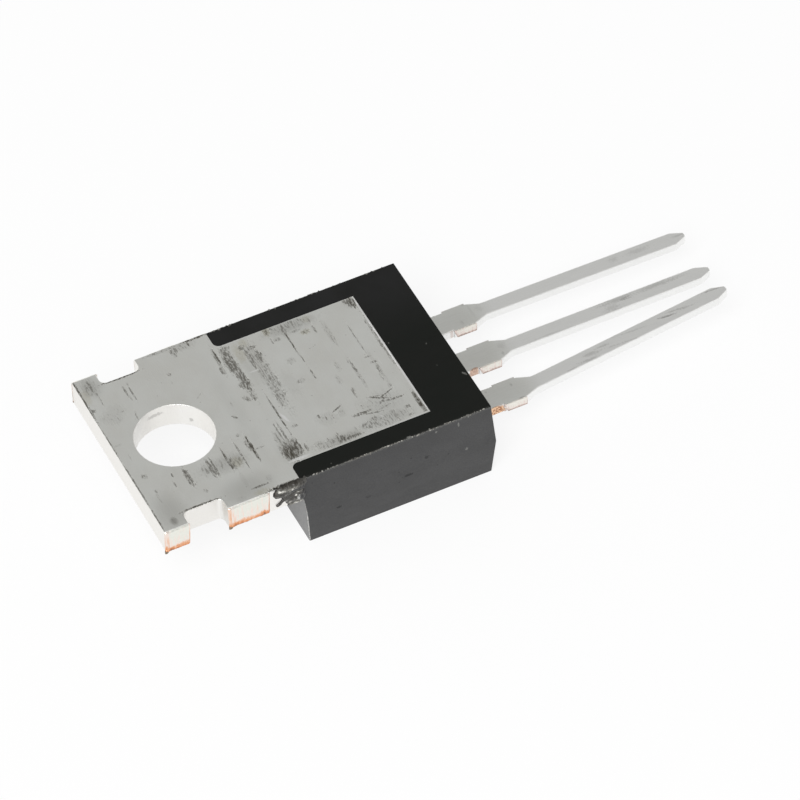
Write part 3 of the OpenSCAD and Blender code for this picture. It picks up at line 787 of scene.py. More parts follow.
# A painted sheen: the tone that the back reaches at its far side.
RESIN_BACK_SHEEN = srgb(26, 26, 26)
RESIN_CHIP = srgb(122, 122, 118)
# A painted highlight for the rounded corners at the tab's end.
RESIN_CORNER_HIGHLIGHT = srgb(205, 205, 202)
RESIN_PIT = srgb(26, 26, 26)
RESIN_DARK_SPOT = srgb(34, 34, 34)
RESIN_BACK_MOTTLE = srgb(12, 13, 9)
RESIN_SPECULAR = 0.22
RESIN_ROUGHNESS = 0.42
RESIN_GRAIN = 0.0009
SIDE_DARK_SPOTS = [
    (-8.95, -2.35, 0.3, 0.9), (-5.55, -2.75, 0.16, 0.9), (-9.9, -1.65, 0.14, 0.7), (-7.0, -2.8, 0.14, 0.5),
]
SIDE_TICKS = [
    (-11.5, -0.36, 0.05, 0.15), (-12.0, -0.06, 0.04, 0.12), (-11.85, -2.1, 0.08, 0.12),
    (-10.4, -0.3, 0.06, 0.07),
]
BACK_FLECKS = [
    (0.6, -10.78, 0.08, 0.06, 0.4), (-0.2, -12.25, 0.1, 0.05, 0.35, -30), (-1.6, -12.1, 0.06, 0.06, 0.3),
    (-4.88, -9.1, 0.1, 0.2, 0.6), (-2.6, -12.95, 0.24, 0.1, 0.5, 30), (-4.7, -5.4, 0.07, 0.07, 0.25),
]


def resin_sides(tree, height_mm, mottle, filler, pits):
    """The colour of the mould's eroded walls: dark grey, with a painted reflection on the face at the tab's
    end and a painted highlight, broken up by the filler, along its corners.
    """
    colour = blend(mottle, RESIN_SIDE, RESIN_SIDE_DARK)
    colour = blend(times(filler, 0.11), colour, RESIN_CHIP)
    colour = blend(pits, colour, RESIN_PIT)
    facing_y = add(tree, "SeparateXYZ", {0: add(tree, "TexCoord").outputs["Normal"]}).outputs["Y"]
    # Painted reflection on the faces turned to the tab's end.
    colour = blend(ramp_value(facing_y, 0.85, 0.98), colour, RESIN_TAB_END_REFLECTION)
    # Painted highlight along the rounded corners between the sides and the tab's end, broken up by the
    # filler.
    corner = times(ramp_value(facing_y, 0.15, 0.40), ramp_value(facing_y, 0.97, 0.80))
    corner = times(corner, ramp_value(filler, 0.15, 0.65))
    colour = blend(corner, colour, RESIN_CORNER_HIGHLIGHT)
    rim = times(ramp_value(height_mm, -0.18, -0.03), ramp_value(filler, 0.25, 0.75))
    return blend(times(rim, 0.40), colour, RESIN_CHIP)


def resin_back(tree, place, mottle, filler):
    """The colour of the polished back: nearly black, with a painted sheen that lightens it across towards
    the far side, and a pale rim.
    """
    across = add(tree, "SeparateXYZ", {0: place}).outputs["X"]
    # Painted sheen, growing across the back towards the far side.
    tone = blend(ramp_value(across, 0.0, mould_half_width), RESIN_BACK, RESIN_BACK_SHEEN)
    colour = blend(times(mottle, 0.5), tone, RESIN_BACK_MOTTLE)
    rim = ramp_value(across, -mould_half_width + 0.10, -mould_half_width + 0.03)
    rim = times(rim, ramp_value(filler, 0.20, 0.70))
    return blend(times(rim, 0.10), colour, RESIN_CHIP)


def side_dark_spots(tree, place, streaks):
    """Where the near side has its darker spots, 0 to 1."""
    dark_spots = 0.0
    for y, z, size, strength in SIDE_DARK_SPOTS:
        dark_spots = use(
            tree, rub_and_shade_mark, Place=place, Centre=(-mould_half_width - 0.05, y, z), Reach=(0.4, size, 0.1),
            Strength=strength, Streaks=streaks, Marks=dark_spots,
        )["Marks"]
    return dark_spots


def resin_chips(tree, place, streaks, filler):
    """Where the pale filler shows, 0 to 1: ticks on the near side, flecks on the back, worn edges."""
    ragged = times(streaks, 0.8)
    chips = 0.0
    for y, z, across, along in SIDE_TICKS:
        chips = use(
            tree, rub_and_shade_mark, Place=place, Centre=(-mould_half_width, y, z), Reach=(0.1, across, along),
            Strength=0.7, Streaks=ragged, Marks=chips,
        )["Marks"]
    chips = add_marks(tree, place, ragged, BACK_FLECKS, 0.0, before=chips)
    near_edge = use(tree, edge_wear_and_highlight, Start=0.985, Full=0.85)["Edge"]
    chipped = times(near_edge, ramp_value(filler, 0.45, 0.75))
    return larger(chips, times(chipped, 0.55))


def moulding_resin(name):
    """Black filled epoxy: matt dark grey sides, a smoother black back, pale chips and worn edges, and
    painted light: a reflection at the tab's end, a highlight on its corners and a sheen across the back.
    """
    material, tree, shader = new_finish(name)
    place = position_mm(tree)
    height_mm = add(tree, "SeparateXYZ", {0: place}).outputs["Z"]
    mottle = use(tree, grain_group, Place=place, Cycles=(0.5, 0.5, 0.8), Low=0.35, High=0.65)["Grain"]
    filler = use(tree, grain_group, Place=place, Cycles=(16.0, 16.0, 16.0), Low=0.3, High=0.7)["Grain"]
    pits = use(tree, specks_group, Place=place, Cells=1.6, Size=0.10, Share=0.12)["Specks"]
    sheen_lines = use(tree, grain_group, Place=place, Cycles=(6.0, 1.0, 6.0), Low=0.3, High=0.7)["Grain"]
    back = ramp_value(height_mm, -0.05, -0.01)
    side_colour = resin_sides(tree, height_mm, mottle, filler, pits)
    back_colour = resin_back(tree, place, mottle, filler)
    colour = blend(back, side_colour, back_colour)
    streaks = minus(filler, 0.55)
    colour = blend(side_dark_spots(tree, place, streaks), colour, RESIN_DARK_SPOT)
    chips = resin_chips(tree, place, streaks, filler)
    colour = blend(chips, colour, RESIN_CHIP)

    shader.inputs["Specular IOR Level"].default_value = RESIN_SPECULAR
    roughness = stretch(sheen_lines, RESIN_ROUGHNESS - 0.05, RESIN_ROUGHNESS + 0.06)
    roughness = minus(roughness, times(back, 0.06))
    relief = plus(filler, times(chips, 2.0))
    link_finish(tree, shader, colour, roughness, relief, RESIN_GRAIN)
    return material


resin_finish = moulding_resin("moulding_resin_body")
print("resin finish:", len(resin_finish.node_tree.nodes), "nodes")

# %% [markdown]
# ## Freshly cut copper
#
# The strip that carried many headers was cut off after plating, and so were the bars between
# the leads. The cutter smears tin down the face first, then the copper breaks: the lower rim
# is bare and orange. Each cut face stores how bare it is at every point in an attribute, and a
# colour ramp turns that into cream tin, peach, orange and brown.


# %% Cut copper
DUST = srgb(176, 172, 150)


def toned_surface(name, tones, metallic=1.0, smooth=0.30, rough=0.46, uneven=0.26, grain=0.002):
    """A surface whose colour follows the attribute tone: each entry is (attribute value, colour)."""
    material, tree, shader = new_finish(name)
    place = position_mm(tree)
    tone = add(tree, "Attribute", attribute_name="tone").outputs["Fac"]
    drag = use(tree, grain_group, Place=place, Cycles=(9.0, 9.0, 1.2), Low=0.3, High=0.7)["Grain"]
    crumbs = use(tree, grain_group, Place=place, Cycles=(14.0, 14.0, 14.0), Low=0.3, High=0.7)["Grain"]
    shift = times(minus(drag, 0.5), uneven)
    ramp = add(tree, "ValToRGB", {0: plus(tone, shift, clamp=True)})
    steps = ramp.color_ramp.elements
    steps[0].position, steps[0].color = tones[0]
    steps[1].position, steps[1].color = tones[-1]
    for position, colour in tones[1:-1]:
        steps.new(position).color = colour
    dust = times(crumbs, 0.10 * metallic)
    colour = blend(dust, ramp.outputs["Color"], DUST)
    shader.inputs["Metallic"].default_value = metallic
    link_finish(tree, shader, colour, stretch(drag, smooth, rough), drag, grain)
    return material


CUT_TONES = [
    (0.06, srgb(239, 240, 232)), (0.26, srgb(248, 234, 226)), (0.42, srgb(246, 216, 198)),
    (0.62, srgb(239, 180, 140)), (0.76, srgb(230, 150, 102)), (0.88, srgb(180, 128, 100)),
    (1.0, srgb(134, 124, 108)),
]
STUB_TONES = [
    (0.06, srgb(242, 239, 231)), (0.24, srgb(240, 226, 220)), (0.55, srgb(214, 194, 186)),
    (0.80, srgb(184, 164, 156)), (1.0, srgb(152, 140, 130)),
]
# The light end of this ramp is for the flash's painted glints and bright gaps.
FLASH_TONES_WITH_PAINTED_LIGHT = [
    (0.0, srgb(12, 10, 8)), (0.30, srgb(42, 38, 32)), (0.55, srgb(64, 62, 58)), (0.78, srgb(120, 118, 111)),
    (1.0, srgb(222, 220, 213)),
]
cut_finish = toned_surface("cut_copper", CUT_TONES)
stub_finish = toned_surface("cut_lead_copper", STUB_TONES)
flash_skin = toned_surface("flash_resin", FLASH_TONES_WITH_PAINTED_LIGHT, 0.0, 0.22, 0.34, 0.10, 0.0006)
print("cut copper:", len(cut_finish.node_tree.nodes), "nodes")

# %% [markdown]
# ## Finishes of the hidden parts
#
# The chip, its solder and the bond wires are inside the moulding, but someone may hide the
# moulding to look at them. The chip is dark polished silicon with faint saw lines, the solder
# a dull crystalline grey, and the wires soft aluminium with drawing lines.


# %% Chip, solder and wires
def plain_metal(name, light, dark, metallic, roughness, cycles, grain):
    """A surface with two tones from one grain, which also sets its roughness and bump."""
    material, tree, shader = new_finish(name)
    place = position_mm(tree)
    texture = use(tree, grain_group, Place=place, Cycles=cycles, Low=0.3, High=0.7)["Grain"]
    patches = use(tree, grain_group, Place=place, Cycles=(1.3, 1.3, 1.3), Low=0.35, High=0.65)["Grain"]
    edge = use(tree, edge_wear_and_highlight, Start=0.97, Full=0.8)["Edge"]
    colour = blend(texture, light, dark)
    colour = blend(times(patches, 0.3), colour, dark)
    # Rounded edges lightened: a painted highlight.
    colour = blend(times(edge, 0.4), colour, light)
    shader.inputs["Metallic"].default_value = metallic
    uneven = stretch(texture, roughness - 0.06, roughness + 0.08)
    link_finish(tree, shader, colour, uneven, texture, grain)
    return material


SAW_LINES, CRYSTALS, DRAWING_LINES = (0.8, 22.0, 22.0), (7.0, 7.0, 7.0), (3.0, 24.0, 24.0)
silicon = plain_metal("silicon_die", srgb(92, 98, 116), srgb(70, 74, 92), 0.6, 0.20, SAW_LINES, 0.0006)
solder = plain_metal("solder_layer", srgb(176, 176, 172), srgb(134, 134, 130), 1.0, 0.42, CRYSTALS, 0.004)
aluminium = plain_metal(
    "bond_wire_metal", srgb(222, 223, 226), srgb(190, 191, 196), 1.0, 0.26, DRAWING_LINES, 0.001
)
hidden_finishes = {
    "triac_chip": silicon, "chip_solder": solder, "main_bond_wires": aluminium, "gate_bond_wire": aluminium,
}
for node_name, finish in hidden_finishes.items():
    for material_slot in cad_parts[node_name].material_slots:
        material_slot.material = finish
print("hidden finishes on", sorted(hidden_finishes))

# %% [markdown]
# ## Rounded copies of the solids
#
# Stamping rolls the edges of sheet metal over, and a mould's edges are never sharp. The CAD
# solids have sharp edges, so each big one is copied, its loose triangles are merged into whole
# faces, and a Bevel modifier rounds the edges. An edge's weight is its own rounding over the
# largest one, so a single modifier can round the leads' blades widely and the tab's edges
# less, and leave the pad's edge against the resin nearly crisp.

# %% Rounding helper
SHARP_ANGLE = math.radians(30)
FLAT_ANGLE = math.radians(0.5)
LARGEST_ROUNDING = 0.11
ROUNDING_STEPS = 4
MOSTLY = 0.9


def rounded_copy(node_name, finish, rounding):
    """Copy a node, merge it and bevel it. rounding(middles, ways) gives each edge's width in mm.

    A way is the edge's unit direction without signs, so an edge runs mostly along an axis where
    that component is above MOSTLY."""
    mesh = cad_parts[node_name].data.copy()
    mesh.name = "rounded_" + node_name
    work = bmesh.new()
    work.from_mesh(mesh)
    bmesh.ops.remove_doubles(work, verts=work.verts, dist=SMALL * MM)
    bmesh.ops.dissolve_limit(
        work, angle_limit=FLAT_ANGLE, use_dissolve_boundaries=False, verts=work.verts, edges=work.edges,
        delimit=set(),
    )
    work.edges.index_update()
    sharp = np.array([edge.calc_face_angle(0.0) > SHARP_ANGLE for edge in work.edges])
    work.to_mesh(mesh)
    work.free()
    for label in ("custom_normal", "sharp_edge", "sharp_face"):
        if label in mesh.attributes:
            mesh.attributes.remove(mesh.attributes[label])
    mesh.polygons.foreach_set("use_smooth", np.ones(len(mesh.polygons), bool))
    points = np.empty(len(mesh.vertices) * 3)
    mesh.vertices.foreach_get("co", points)
    ends = np.empty(len(mesh.edges) * 2, int)
    mesh.edges.foreach_get("vertices", ends)
    ends = points.reshape(-1, 3)[ends.reshape(-1, 2)] / MM
    middles = ends.mean(axis=1)
    ways = np.abs(ends[:, 1] - ends[:, 0])
    ways /= np.maximum(np.linalg.norm(ways, axis=1, keepdims=True), 1e-9)
    weights = np.where(sharp, rounding(middles, ways) / LARGEST_ROUNDING, 0.0)
    bevel_weights = mesh.attributes.new("bevel_weight_edge", "FLOAT", "EDGE")
    bevel_weights.data.foreach_set("value", weights.astype(np.float32))
    kept_sharp = mesh.attributes.new("sharp_edge", "BOOLEAN", "EDGE")
    kept_sharp.data.foreach_set("value", sharp & (weights <= 0))
    mesh.materials.clear()
    mesh.materials.append(finish)
    piece = bpy.data.objects.new("rounded_" + node_name, mesh)
    bpy.context.scene.collection.objects.link(piece)
    bevel = piece.modifiers.new("rounded_edges", "BEVEL")
    bevel.limit_method = "WEIGHT"
    bevel.width = LARGEST_ROUNDING * MM
    bevel.segments = ROUNDING_STEPS
    bevel.use_clamp_overlap = False
    bevel.harden_normals = True
    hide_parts(node_name)
    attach(piece, "root")
    print(piece.name, len(mesh.polygons), "faces,", int((weights > 0).sum()), "rounded edges")
    return piece


# %% Header and leads
HOLE_REACH = 2.0


def lead_rounding(middles, ways):
    """Rounded blades and tips, with the stubs and the hidden posts kept crisp."""
    y = middles[:, 1]
    widths = np.full(len(y), 0.08)
    widths = np.where(ways[:, 2] > MOSTLY, np.where(y < stub_end_y - 2, 0.11, 0.03), widths)
    near_stub = (y < stub_start_y + 0.05) & (y > stub_end_y - 0.03)
    widths = np.where(near_stub, 0.012, widths)
    return np.where(y > parting_end_y + 0.1, 0.0, widths)


def header_rounding(middles, ways):
    """Roll-over round the tab's mounting face, less round the hole, the underside and the pad."""
    x, y, z = middles.T
    on_face = z > -SMALL
    tab = (y > shoulder_y + 0.02) & (np.hypot(x, y) > HOLE_REACH)
    outline = np.where(y > tab_end_y - 0.1, 0.02, 0.04)
    widths = np.where(on_face, np.where(tab, outline, 0.02), 0.035)
    widths = np.where(ways[:, 2] > MOSTLY, 0.012, widths)
    widths = np.where((y < shoulder_y) & ~on_face, 0.0, widths)
    return np.where(y < parting_end_y, lead_rounding(middles, ways), widths)


rounded_copy(HEADER, header_finish, header_rounding)
rounded_copy(GATE_LEAD, gate_finish, lead_rounding)
rounded_copy(MAIN_LEAD, main_finish, lead_rounding)


# %% Moulding
MOULD_ROUNDING, WORN_ROUNDING, WINDOW_ROUNDING = 0.035, 0.065, 0.012


def mould_rounding(middles, ways):
    """Soft edges on the near side and the front, crisper ones on the back, none in the cavities."""
    x, y, z = middles.T
    on_back = z > -SMALL
    long_side = (ways[:, 1] > MOSTLY) & (np.abs(x) > mould_half_width - 0.01)
    outline = on_back & (long_side | (y < mould_end_y + 0.01))
    on_front = z < floor_z + 0.02
    upright = (ways[:, 2] > MOSTLY) & (np.abs(x) > mould_half_width - 0.4)
    lead_end = y < mould_end_y + 0.2
    tab_end = (y > shoulder_y - 0.6) & (z < tab_floor_z)
    widths = np.where(on_back, WINDOW_ROUNDING, 0.0)
    widths = np.where(outline & (x < -mould_half_width + 0.01), 0.02, widths)
    widths = np.where(on_front | (upright & lead_end), MOULD_ROUNDING, widths)
    return np.where(upright & tab_end, WORN_ROUNDING, widths)


rounded_copy("mould_body", resin_finish, mould_rounding)

# %% [markdown]
# ## Surfaces worked out with numpy
#
# The remaining pieces are surfaces over two parameters: a grid of points is computed as whole
# arrays, and the same small function turns any grid into faces. Roughness comes from a smooth
# random field: random values on a coarse lattice, with a cosine blend between them.


# %% Surface helpers
def grid_faces(rows, columns, closed=False):
    """The four corner numbers of each quad of a grid whose points run row by row."""
    row = np.arange(rows - 1)[:, None]
    column = np.arange(columns if closed else columns - 1)[None, :]
    beside = (column + 1) % columns
    corner = row * columns
    above = corner + columns
    quads = [corner + column, corner + beside, above + beside, above + column]
    return np.stack(quads, -1).reshape(-1, 4)


def smooth_noise(u, v, cells_u, cells_v, seed):
    """A field from 0 to 1 over u and v in 0 to 1: lattice values with cosine blends between."""
    lattice = np.random.default_rng(seed).random((cells_u + 2, cells_v + 2))
    a = np.clip(u, 0, 1) * cells_u
    b = np.clip(v, 0, 1) * cells_v
    i = a.astype(int)
    j = b.astype(int)
    s = (1 - np.cos((a - i) * np.pi)) / 2
    t = (1 - np.cos((b - j) * np.pi)) / 2
    low = lattice[i, j] * (1 - s) + lattice[i + 1, j] * s
    high = lattice[i, j + 1] * (1 - s) + lattice[i + 1, j + 1] * s
    return low * (1 - t) + high * t


def ease(value, start, end):
    """A smooth step from 0 at start to 1 at end."""
    share = np.clip((value - start) / (end - start), 0, 1)
    return share * share * (3 - 2 * share)


WELD_MM = 0.0005


def surface_piece(name, patches, finish, closed=False):
    """One piece from several grids, each given as (points in mm, the tone at each point)."""
    points, faces, tones = [], [], []
    start = 0
    for grid, tone in patches:
        rows, columns = grid.shape[:2]
        points.append(grid.reshape(-1, 3) * MM)
        faces.append(grid_faces(rows, columns, closed) + start)
        tones.append(tone.reshape(-1))
        start += rows * columns
    mesh = bpy.data.meshes.new(name)
    mesh.from_pydata(np.concatenate(points).tolist(), [], np.concatenate(faces).tolist())
    stored = mesh.attributes.new("tone", "FLOAT", "POINT")
    stored.data.foreach_set("value", np.concatenate(tones).astype(np.float32))
    work = bmesh.new()
    work.from_mesh(mesh)
    bmesh.ops.remove_doubles(work, verts=work.verts, dist=WELD_MM * MM)
    if closed:
        bmesh.ops.recalc_face_normals(work, faces=work.faces)
    work.to_mesh(mesh)
    work.free()
    mesh.polygons.foreach_set("use_smooth", np.ones(len(mesh.polygons), bool))
    mesh.materials.append(finish)
    piece = bpy.data.objects.new(name, mesh)
    bpy.context.scene.collection.objects.link(piece)
    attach(piece, "root")
    print(name, len(mesh.polygons), "faces")
    return piece


def give_wall(piece, thickness):
    """Turn an open sheet into a closed shell that grows inwards, away from its normals."""
    wall = piece.modifiers.new("wall", "SOLIDIFY")
    wall.thickness = thickness * MM
    wall.offset = -1.0


# %% [markdown]
# ## Cut faces
#
# Each place where the cutter went through is a thin facet that stands a little proud of the
# plated side. It is a four-cornered patch: the point at (u, v) is blended between its corners,
# then pushed out by a small height, while its rim sinks into the side. Copper shows in the
# lower band, along both upright edges, and in a few streaks, and a burr can hang at one lower
# corner.

# %% Cut face patches
FACET_PROUD = 0.030
TAB_STEPS, LEAD_STEPS = (150, 70), (90, 40)
STRAP_LENGTH = 2.01


def copper_tone(u, v, broken, torn, fine, seed, line, streaks, most):
    """How bare the copper is, 0 to 1, over a cut face.

    It is the largest of the fringe along the break, the two upright edges, drawn streaks, a
    faint blush and the cutter's smear, made a little barer along the lowest rim."""
    first = ease(u, 5.5 * line, 0.3 * line) * (0.20 + 0.90 * smooth_noise(u, v, 58, 2, seed + 6))
    last = ease(1 - u, 1.3 * line, 0.2 * line) * (0.45 + 0.55 * ease(v, 0.05, 0.55))
    upright = np.maximum(first * (0.62 + 0.28 * ease(v, 0.05, 0.55)), last)
    drawn = ease(smooth_noise(u, v, 56, 2, seed + 3), 0.62, 0.95) * ease(v, 0.10, 0.6) * streaks
    lowest = ease(v, 0.93, 1.0)
    brown = ease(smooth_noise(u, v, 7, 2, seed + 4), 0.35, 0.95)
    teeth = smooth_noise(u, v, 70, 3, seed + 7)
    fringe = broken * (0.14 + 0.48 * torn + 0.16 * fine + 0.20 * brown + 0.18 * (teeth - 0.5))
    edges = upright * (0.52 + 0.50 * smooth_noise(u, v, 60, 3, seed + 5))
    blush = 0.22 * ease(smooth_noise(u, v, 9, 2, seed + 8), 0.55, 0.95) * ease(v, 0.1, 0.5)
    smear = 0.30 * ease(smooth_noise(u, v, 64, 2, seed + 9), 0.45, 0.9) * (0.4 + 0.6 * ease(v, 0.0, 0.5))
    bare = np.maximum.reduce([fringe, edges, drawn * 0.45, blush, smear])
    return np.clip(bare + 0.30 * lowest * broken, 0, most)


def cut_face(side_x, outward, corner_ys, corner_zs, seed, steps=TAB_STEPS, band=0.32, line=0.05, burr=0.05,
             streaks=0.8, most=0.86, proud=FACET_PROUD):
    """A cut facet on a side face, and how bare its copper is at each point.

    The corners run top first end, top other end, bottom other end, bottom first end. The place
    is their bilinear blend. The push outwards is about proud, rougher in the broken lower band,
    and turns inwards over the last few hundredths, so that the rim lies below the side."""
    u, v = np.meshgrid(np.linspace(0, 1, steps[0]), np.linspace(0, 1, steps[1]))
    corner_weights = [(1 - u) * (1 - v), u * (1 - v), u * v, (1 - u) * v]
    y = sum(weight * value for weight, value in zip(corner_weights, corner_ys))
    z = sum(weight * value for weight, value in zip(corner_weights, corner_zs))
    wave = smooth_noise(u, v, 14, 3, seed)
    fine = smooth_noise(u, v, 30, 18, seed + 1)
    low_rim = 1 - band * (0.75 + 0.5 * smooth_noise(u, v, 6, 1, seed + 2))
    broken = ease(v, low_rim - 0.10, low_rim + 0.12)
    torn = ease(v, low_rim - 0.16, 1.0)
    hanging = np.exp(-((u / 0.07) ** 2)) * ease(v, 0.86, 1.0)
    z = z - burr * hanging
    y = y + 1.2 * burr * hanging
    rim = np.minimum.reduce([ease(u, 0, 0.03), ease(1 - u, 0, 0.03), ease(v, 0, 0.05), ease(1 - v, 0, 0.04)])
    push = proud * (0.7 + 0.3 * wave) + broken * (fine - 0.6) * 1.2 * proud
    push = push * rim - 1.6 * proud * (1 - rim) + 1.8 * burr * hanging
    bare = copper_tone(u, v, broken, torn, fine, seed, line, streaks, most)
    bare = np.maximum(bare, ease(hanging, 0.1, 0.5))
    grid = np.stack([side_x + outward * push, y, z], -1)
    if outward > 0:
        return grid[:, ::-1], bare[:, ::-1]
    return grid, bare


# %% Cut faces of the tab
TOP_Z, LOW_Z = -0.06, tab_floor_z + 0.04
SLANT = 0.16
tab_patches = []
for way, first_seed, burr, most in ((-1, 11, 0.05, 0.86), (1, 41, 0.0, 0.20)):
    side_x = way * tab_half_width
    tab_patches.append(cut_face(
        side_x, way, (tab_end_y - 0.03, notch_start_y - 0.03, notch_start_y + 0.04, tab_end_y - 0.01),
        (TOP_Z, TOP_Z, LOW_Z, LOW_Z), first_seed, burr=burr, most=most,
    ))
    strap_end_y = notch_end_y - STRAP_LENGTH
    tab_patches.append(cut_face(
        side_x, way, (notch_end_y - 0.02, strap_end_y + 0.03, strap_end_y + 0.08, notch_end_y - 0.04),
        (TOP_Z - 0.04, TOP_Z, LOW_Z, LOW_Z), first_seed + 7, band=0.30, burr=burr, most=most,
    ))
tab_cuts = surface_piece("tab_cut_faces", tab_patches, cut_finish)
give_wall(tab_cuts, 0.06)

# %% Cut faces of the leads
lead_patches = []
for number, axis_x in enumerate(lead_axes.values()):
    for way in (-1, 1):
        lead_patches.append(cut_face(
            axis_x + way * (stub_half_width - (0.014 if way > 0 else 0.0)), way,
            (stub_start_y, stub_end_y, stub_end_y, stub_start_y - SLANT),
            (lead_back_z - 0.03, lead_back_z - 0.03, lead_front_z + 0.02, lead_front_z + 0.02),
            70 + 10 * number + way, LEAD_STEPS, band=0.30, line=0.03, burr=0.0, streaks=0.6,
            most=0.8 if way < 0 else 0.3, proud=0.006,
        ))
lead_cuts = surface_piece("lead_cut_faces", lead_patches, stub_finish)
give_wall(lead_cuts, 0.05)

# %% [markdown]
# ## Resin flash on the tab
#
# Where the mould did not close tightly on the tab, resin crept out along its side: a rounded
# bead under the mounting face, and frothy lumps below it with gaps between. The whole is one
# height field over the tab's side: at each place the height is that of the tallest round lump
# there, less a few bubbles, and where it is below zero the sheet dips into the metal.

# %% Flash
FLASH_STEP = 0.011
FLASH_END_Y = shoulder_y - 0.08
FLASH_FROM_Y, FLASH_TO_Y = -4.05, -2.38
FLASH_LENGTH = 1.7
FLASH_BASE = -0.08
FLASH_LIP = 0.10
FLASH_RIDGES = [
    (-2.8, -0.15, -3.9, -0.14, 0.19, 0.13), (-2.78, -0.3, -3.12, -0.3, 0.24, 0.13),
    (-3.12, -0.28, -3.9, -0.36, 0.15, 0.06), (-3.0, -0.48, -3.05, -0.76, 0.13, 0.05),
    (-3.06, -0.7, -3.26, -0.86, 0.15, 0.04), (-3.28, -0.64, -3.3, -0.94, 0.16, 0.05),
    (-3.24, -0.98, -3.5, -1.0, 0.13, 0.04), (-3.42, -0.46, -3.32, -0.68, 0.12, 0.03),
    (-3.42, -0.58, -3.74, -0.62, 0.12, 0.03), (-3.7, -0.58, -3.66, -1.02, 0.14, 0.04),
    (-3.88, -0.48, -3.92, -1.05, 0.15, 0.05), (-3.66, -1.02, -3.45, -1.06, 0.1, 0.03),
    (-3.45, -0.7, -3.56, -0.96, 0.12, 0.03), (-3.06, -0.76, -2.88, -0.86, 0.048, 0.035),
    (-2.88, -0.86, -2.72, -1.01, 0.030, 0.03), (-2.74, -1.0, -2.62, -1.06, 0.026, 0.03),
    (-3.1, -0.86, -3.16, -1.05, 0.08, 0.035), (-3.3, -1.2, -3.9, -1.2, 0.14, 0.02),
]
FLASH_GAPS = [(-3.09, -0.50, 0.060), (-3.50, -0.74, 0.070), (-3.04, -0.96, 0.035), (-3.22, -1.10, 0.030)]
# Painted glints and bright gaps where the amount is above zero, painted shade in hollows where it is below:
# (y, z, reach in y, reach in z, amount).
FLASH_PAINTED_GLINTS_AND_SHADE = [
    (-2.78, -0.11, 0.17, 0.07, 0.36), (-2.66, -0.08, 0.05, 0.08, 0.16), (-3.3, -0.23, 0.07, 0.06, 0.38),
    (-3.09, -0.5, 0.065, 0.05, 0.7), (-3.5, -0.75, 0.075, 0.06, 0.9), (-3.15, -0.46, 0.03, 0.03, 0.3),
    (-3.2, -1.04, 0.1, 0.035, 0.55), (-3.55, -1.05, 0.07, 0.04, 0.45), (-3.76, -1.0, 0.03, 0.08, 0.5),
    (-3.03, -0.9, 0.05, 0.04, 0.4), (-3.62, -0.58, 0.08, 0.03, 0.3), (-3.42, -0.1, 0.05, 0.04, 0.18),
    (-3.12, -0.08, 0.04, 0.04, 0.16), (-3.86, -1.08, 0.03, 0.06, 0.45), (-2.82, -0.34, 0.11, 0.07, -0.34),
    (-3.3, -0.72, 0.14, 0.18, -0.2), (-3.7, -0.8, 0.1, 0.12, -0.24), (-3.0, -0.66, 0.1, 0.14, -0.1),
    (-3.56, 0.02, 0.05, 0.05, -0.3), (-3.0, 0.03, 0.6, 0.03, -0.1), (-3.46, -0.34, 0.08, 0.1, -0.1),
    (-3.6, -1.24, 0.36, 0.1, 0.38), (-3.2, -0.16, 0.42, 0.07, 0.16),
]


def flash_painted_light(y, z, height):
    """How light the flash is painted, 0 to 1: painted shade where it thins out, a speckle, painted glints
    and bright gaps, and painted shade in its hollows.

    Where it runs into the moulding's side it is smooth and has that side's own tone."""
    u = (y - y.min()) / np.ptp(y)
    v = (z - z.min()) / np.ptp(z)
    speckle = 0.26 * (smooth_noise(u, v, 20, 18, 31) - 0.5) + 0.22 * (smooth_noise(u, v, 44, 36, 32) - 0.5)
    merging = ease(-y, 3.56, 3.72) * ease(z, -0.55, -0.42)
    tone = 0.52 + speckle * (1 - 0.85 * merging) - 0.40 * ease(height, 0.020, -0.005) * (1 - merging)
    for centre_y, centre_z, reach_y, reach_z, amount in FLASH_PAINTED_GLINTS_AND_SHADE:
        near = np.exp(-(((y - centre_y) / reach_y) ** 2) - ((z - centre_z) / reach_z) ** 2)
        tone = tone + amount * near
    return np.clip(tone, 0, 1)


def flash_height(y, z):
    """Height over the tab's side: the tallest ridge, with soft waves, broken by the gaps.

    A ridge is (y, z, end y, end z, radius, height): height times the square root of
    1 - (distance from the segment / radius) squared, where that is above zero."""
    height_now = np.full(y.shape, FLASH_BASE)
    u = (y - y.min()) / np.ptp(y)
    v = (z - z.min()) / np.ptp(z)
    waves = smooth_noise(u, v, 14, 11, 5) - 0.5 + 0.5 * (smooth_noise(u, v, 30, 24, 6) - 0.5)
    for y_a, z_a, y_b, z_b, radius, tall in FLASH_RIDGES:
        step_y = y_b - y_a
        step_z = z_b - z_a
        share = np.clip(((y - y_a) * step_y + (z - z_a) * step_z) / (step_y**2 + step_z**2), 0, 1)
        distance = np.hypot(y - y_a - share * step_y, z - z_a - share * step_z)
        inside = 1 - (distance / (radius * (1 + 0.20 * waves))) ** 2
        cap = tall * (1 + 0.35 * waves) * np.sqrt(np.maximum(inside, 0)) - 0.05 * np.maximum(-inside, 0)
        height_now = np.maximum(height_now, cap)
    for centre_y, centre_z, radius in FLASH_GAPS:
        hollow = np.exp(-((y - centre_y) ** 2 + (z - centre_z) ** 2) / radius**2)
        height_now = height_now - 0.02 * hollow
    return np.maximum(height_now, FLASH_BASE) - 0.12 * ease(-y, -FLASH_END_Y - 0.10, -FLASH_END_Y + 0.02)


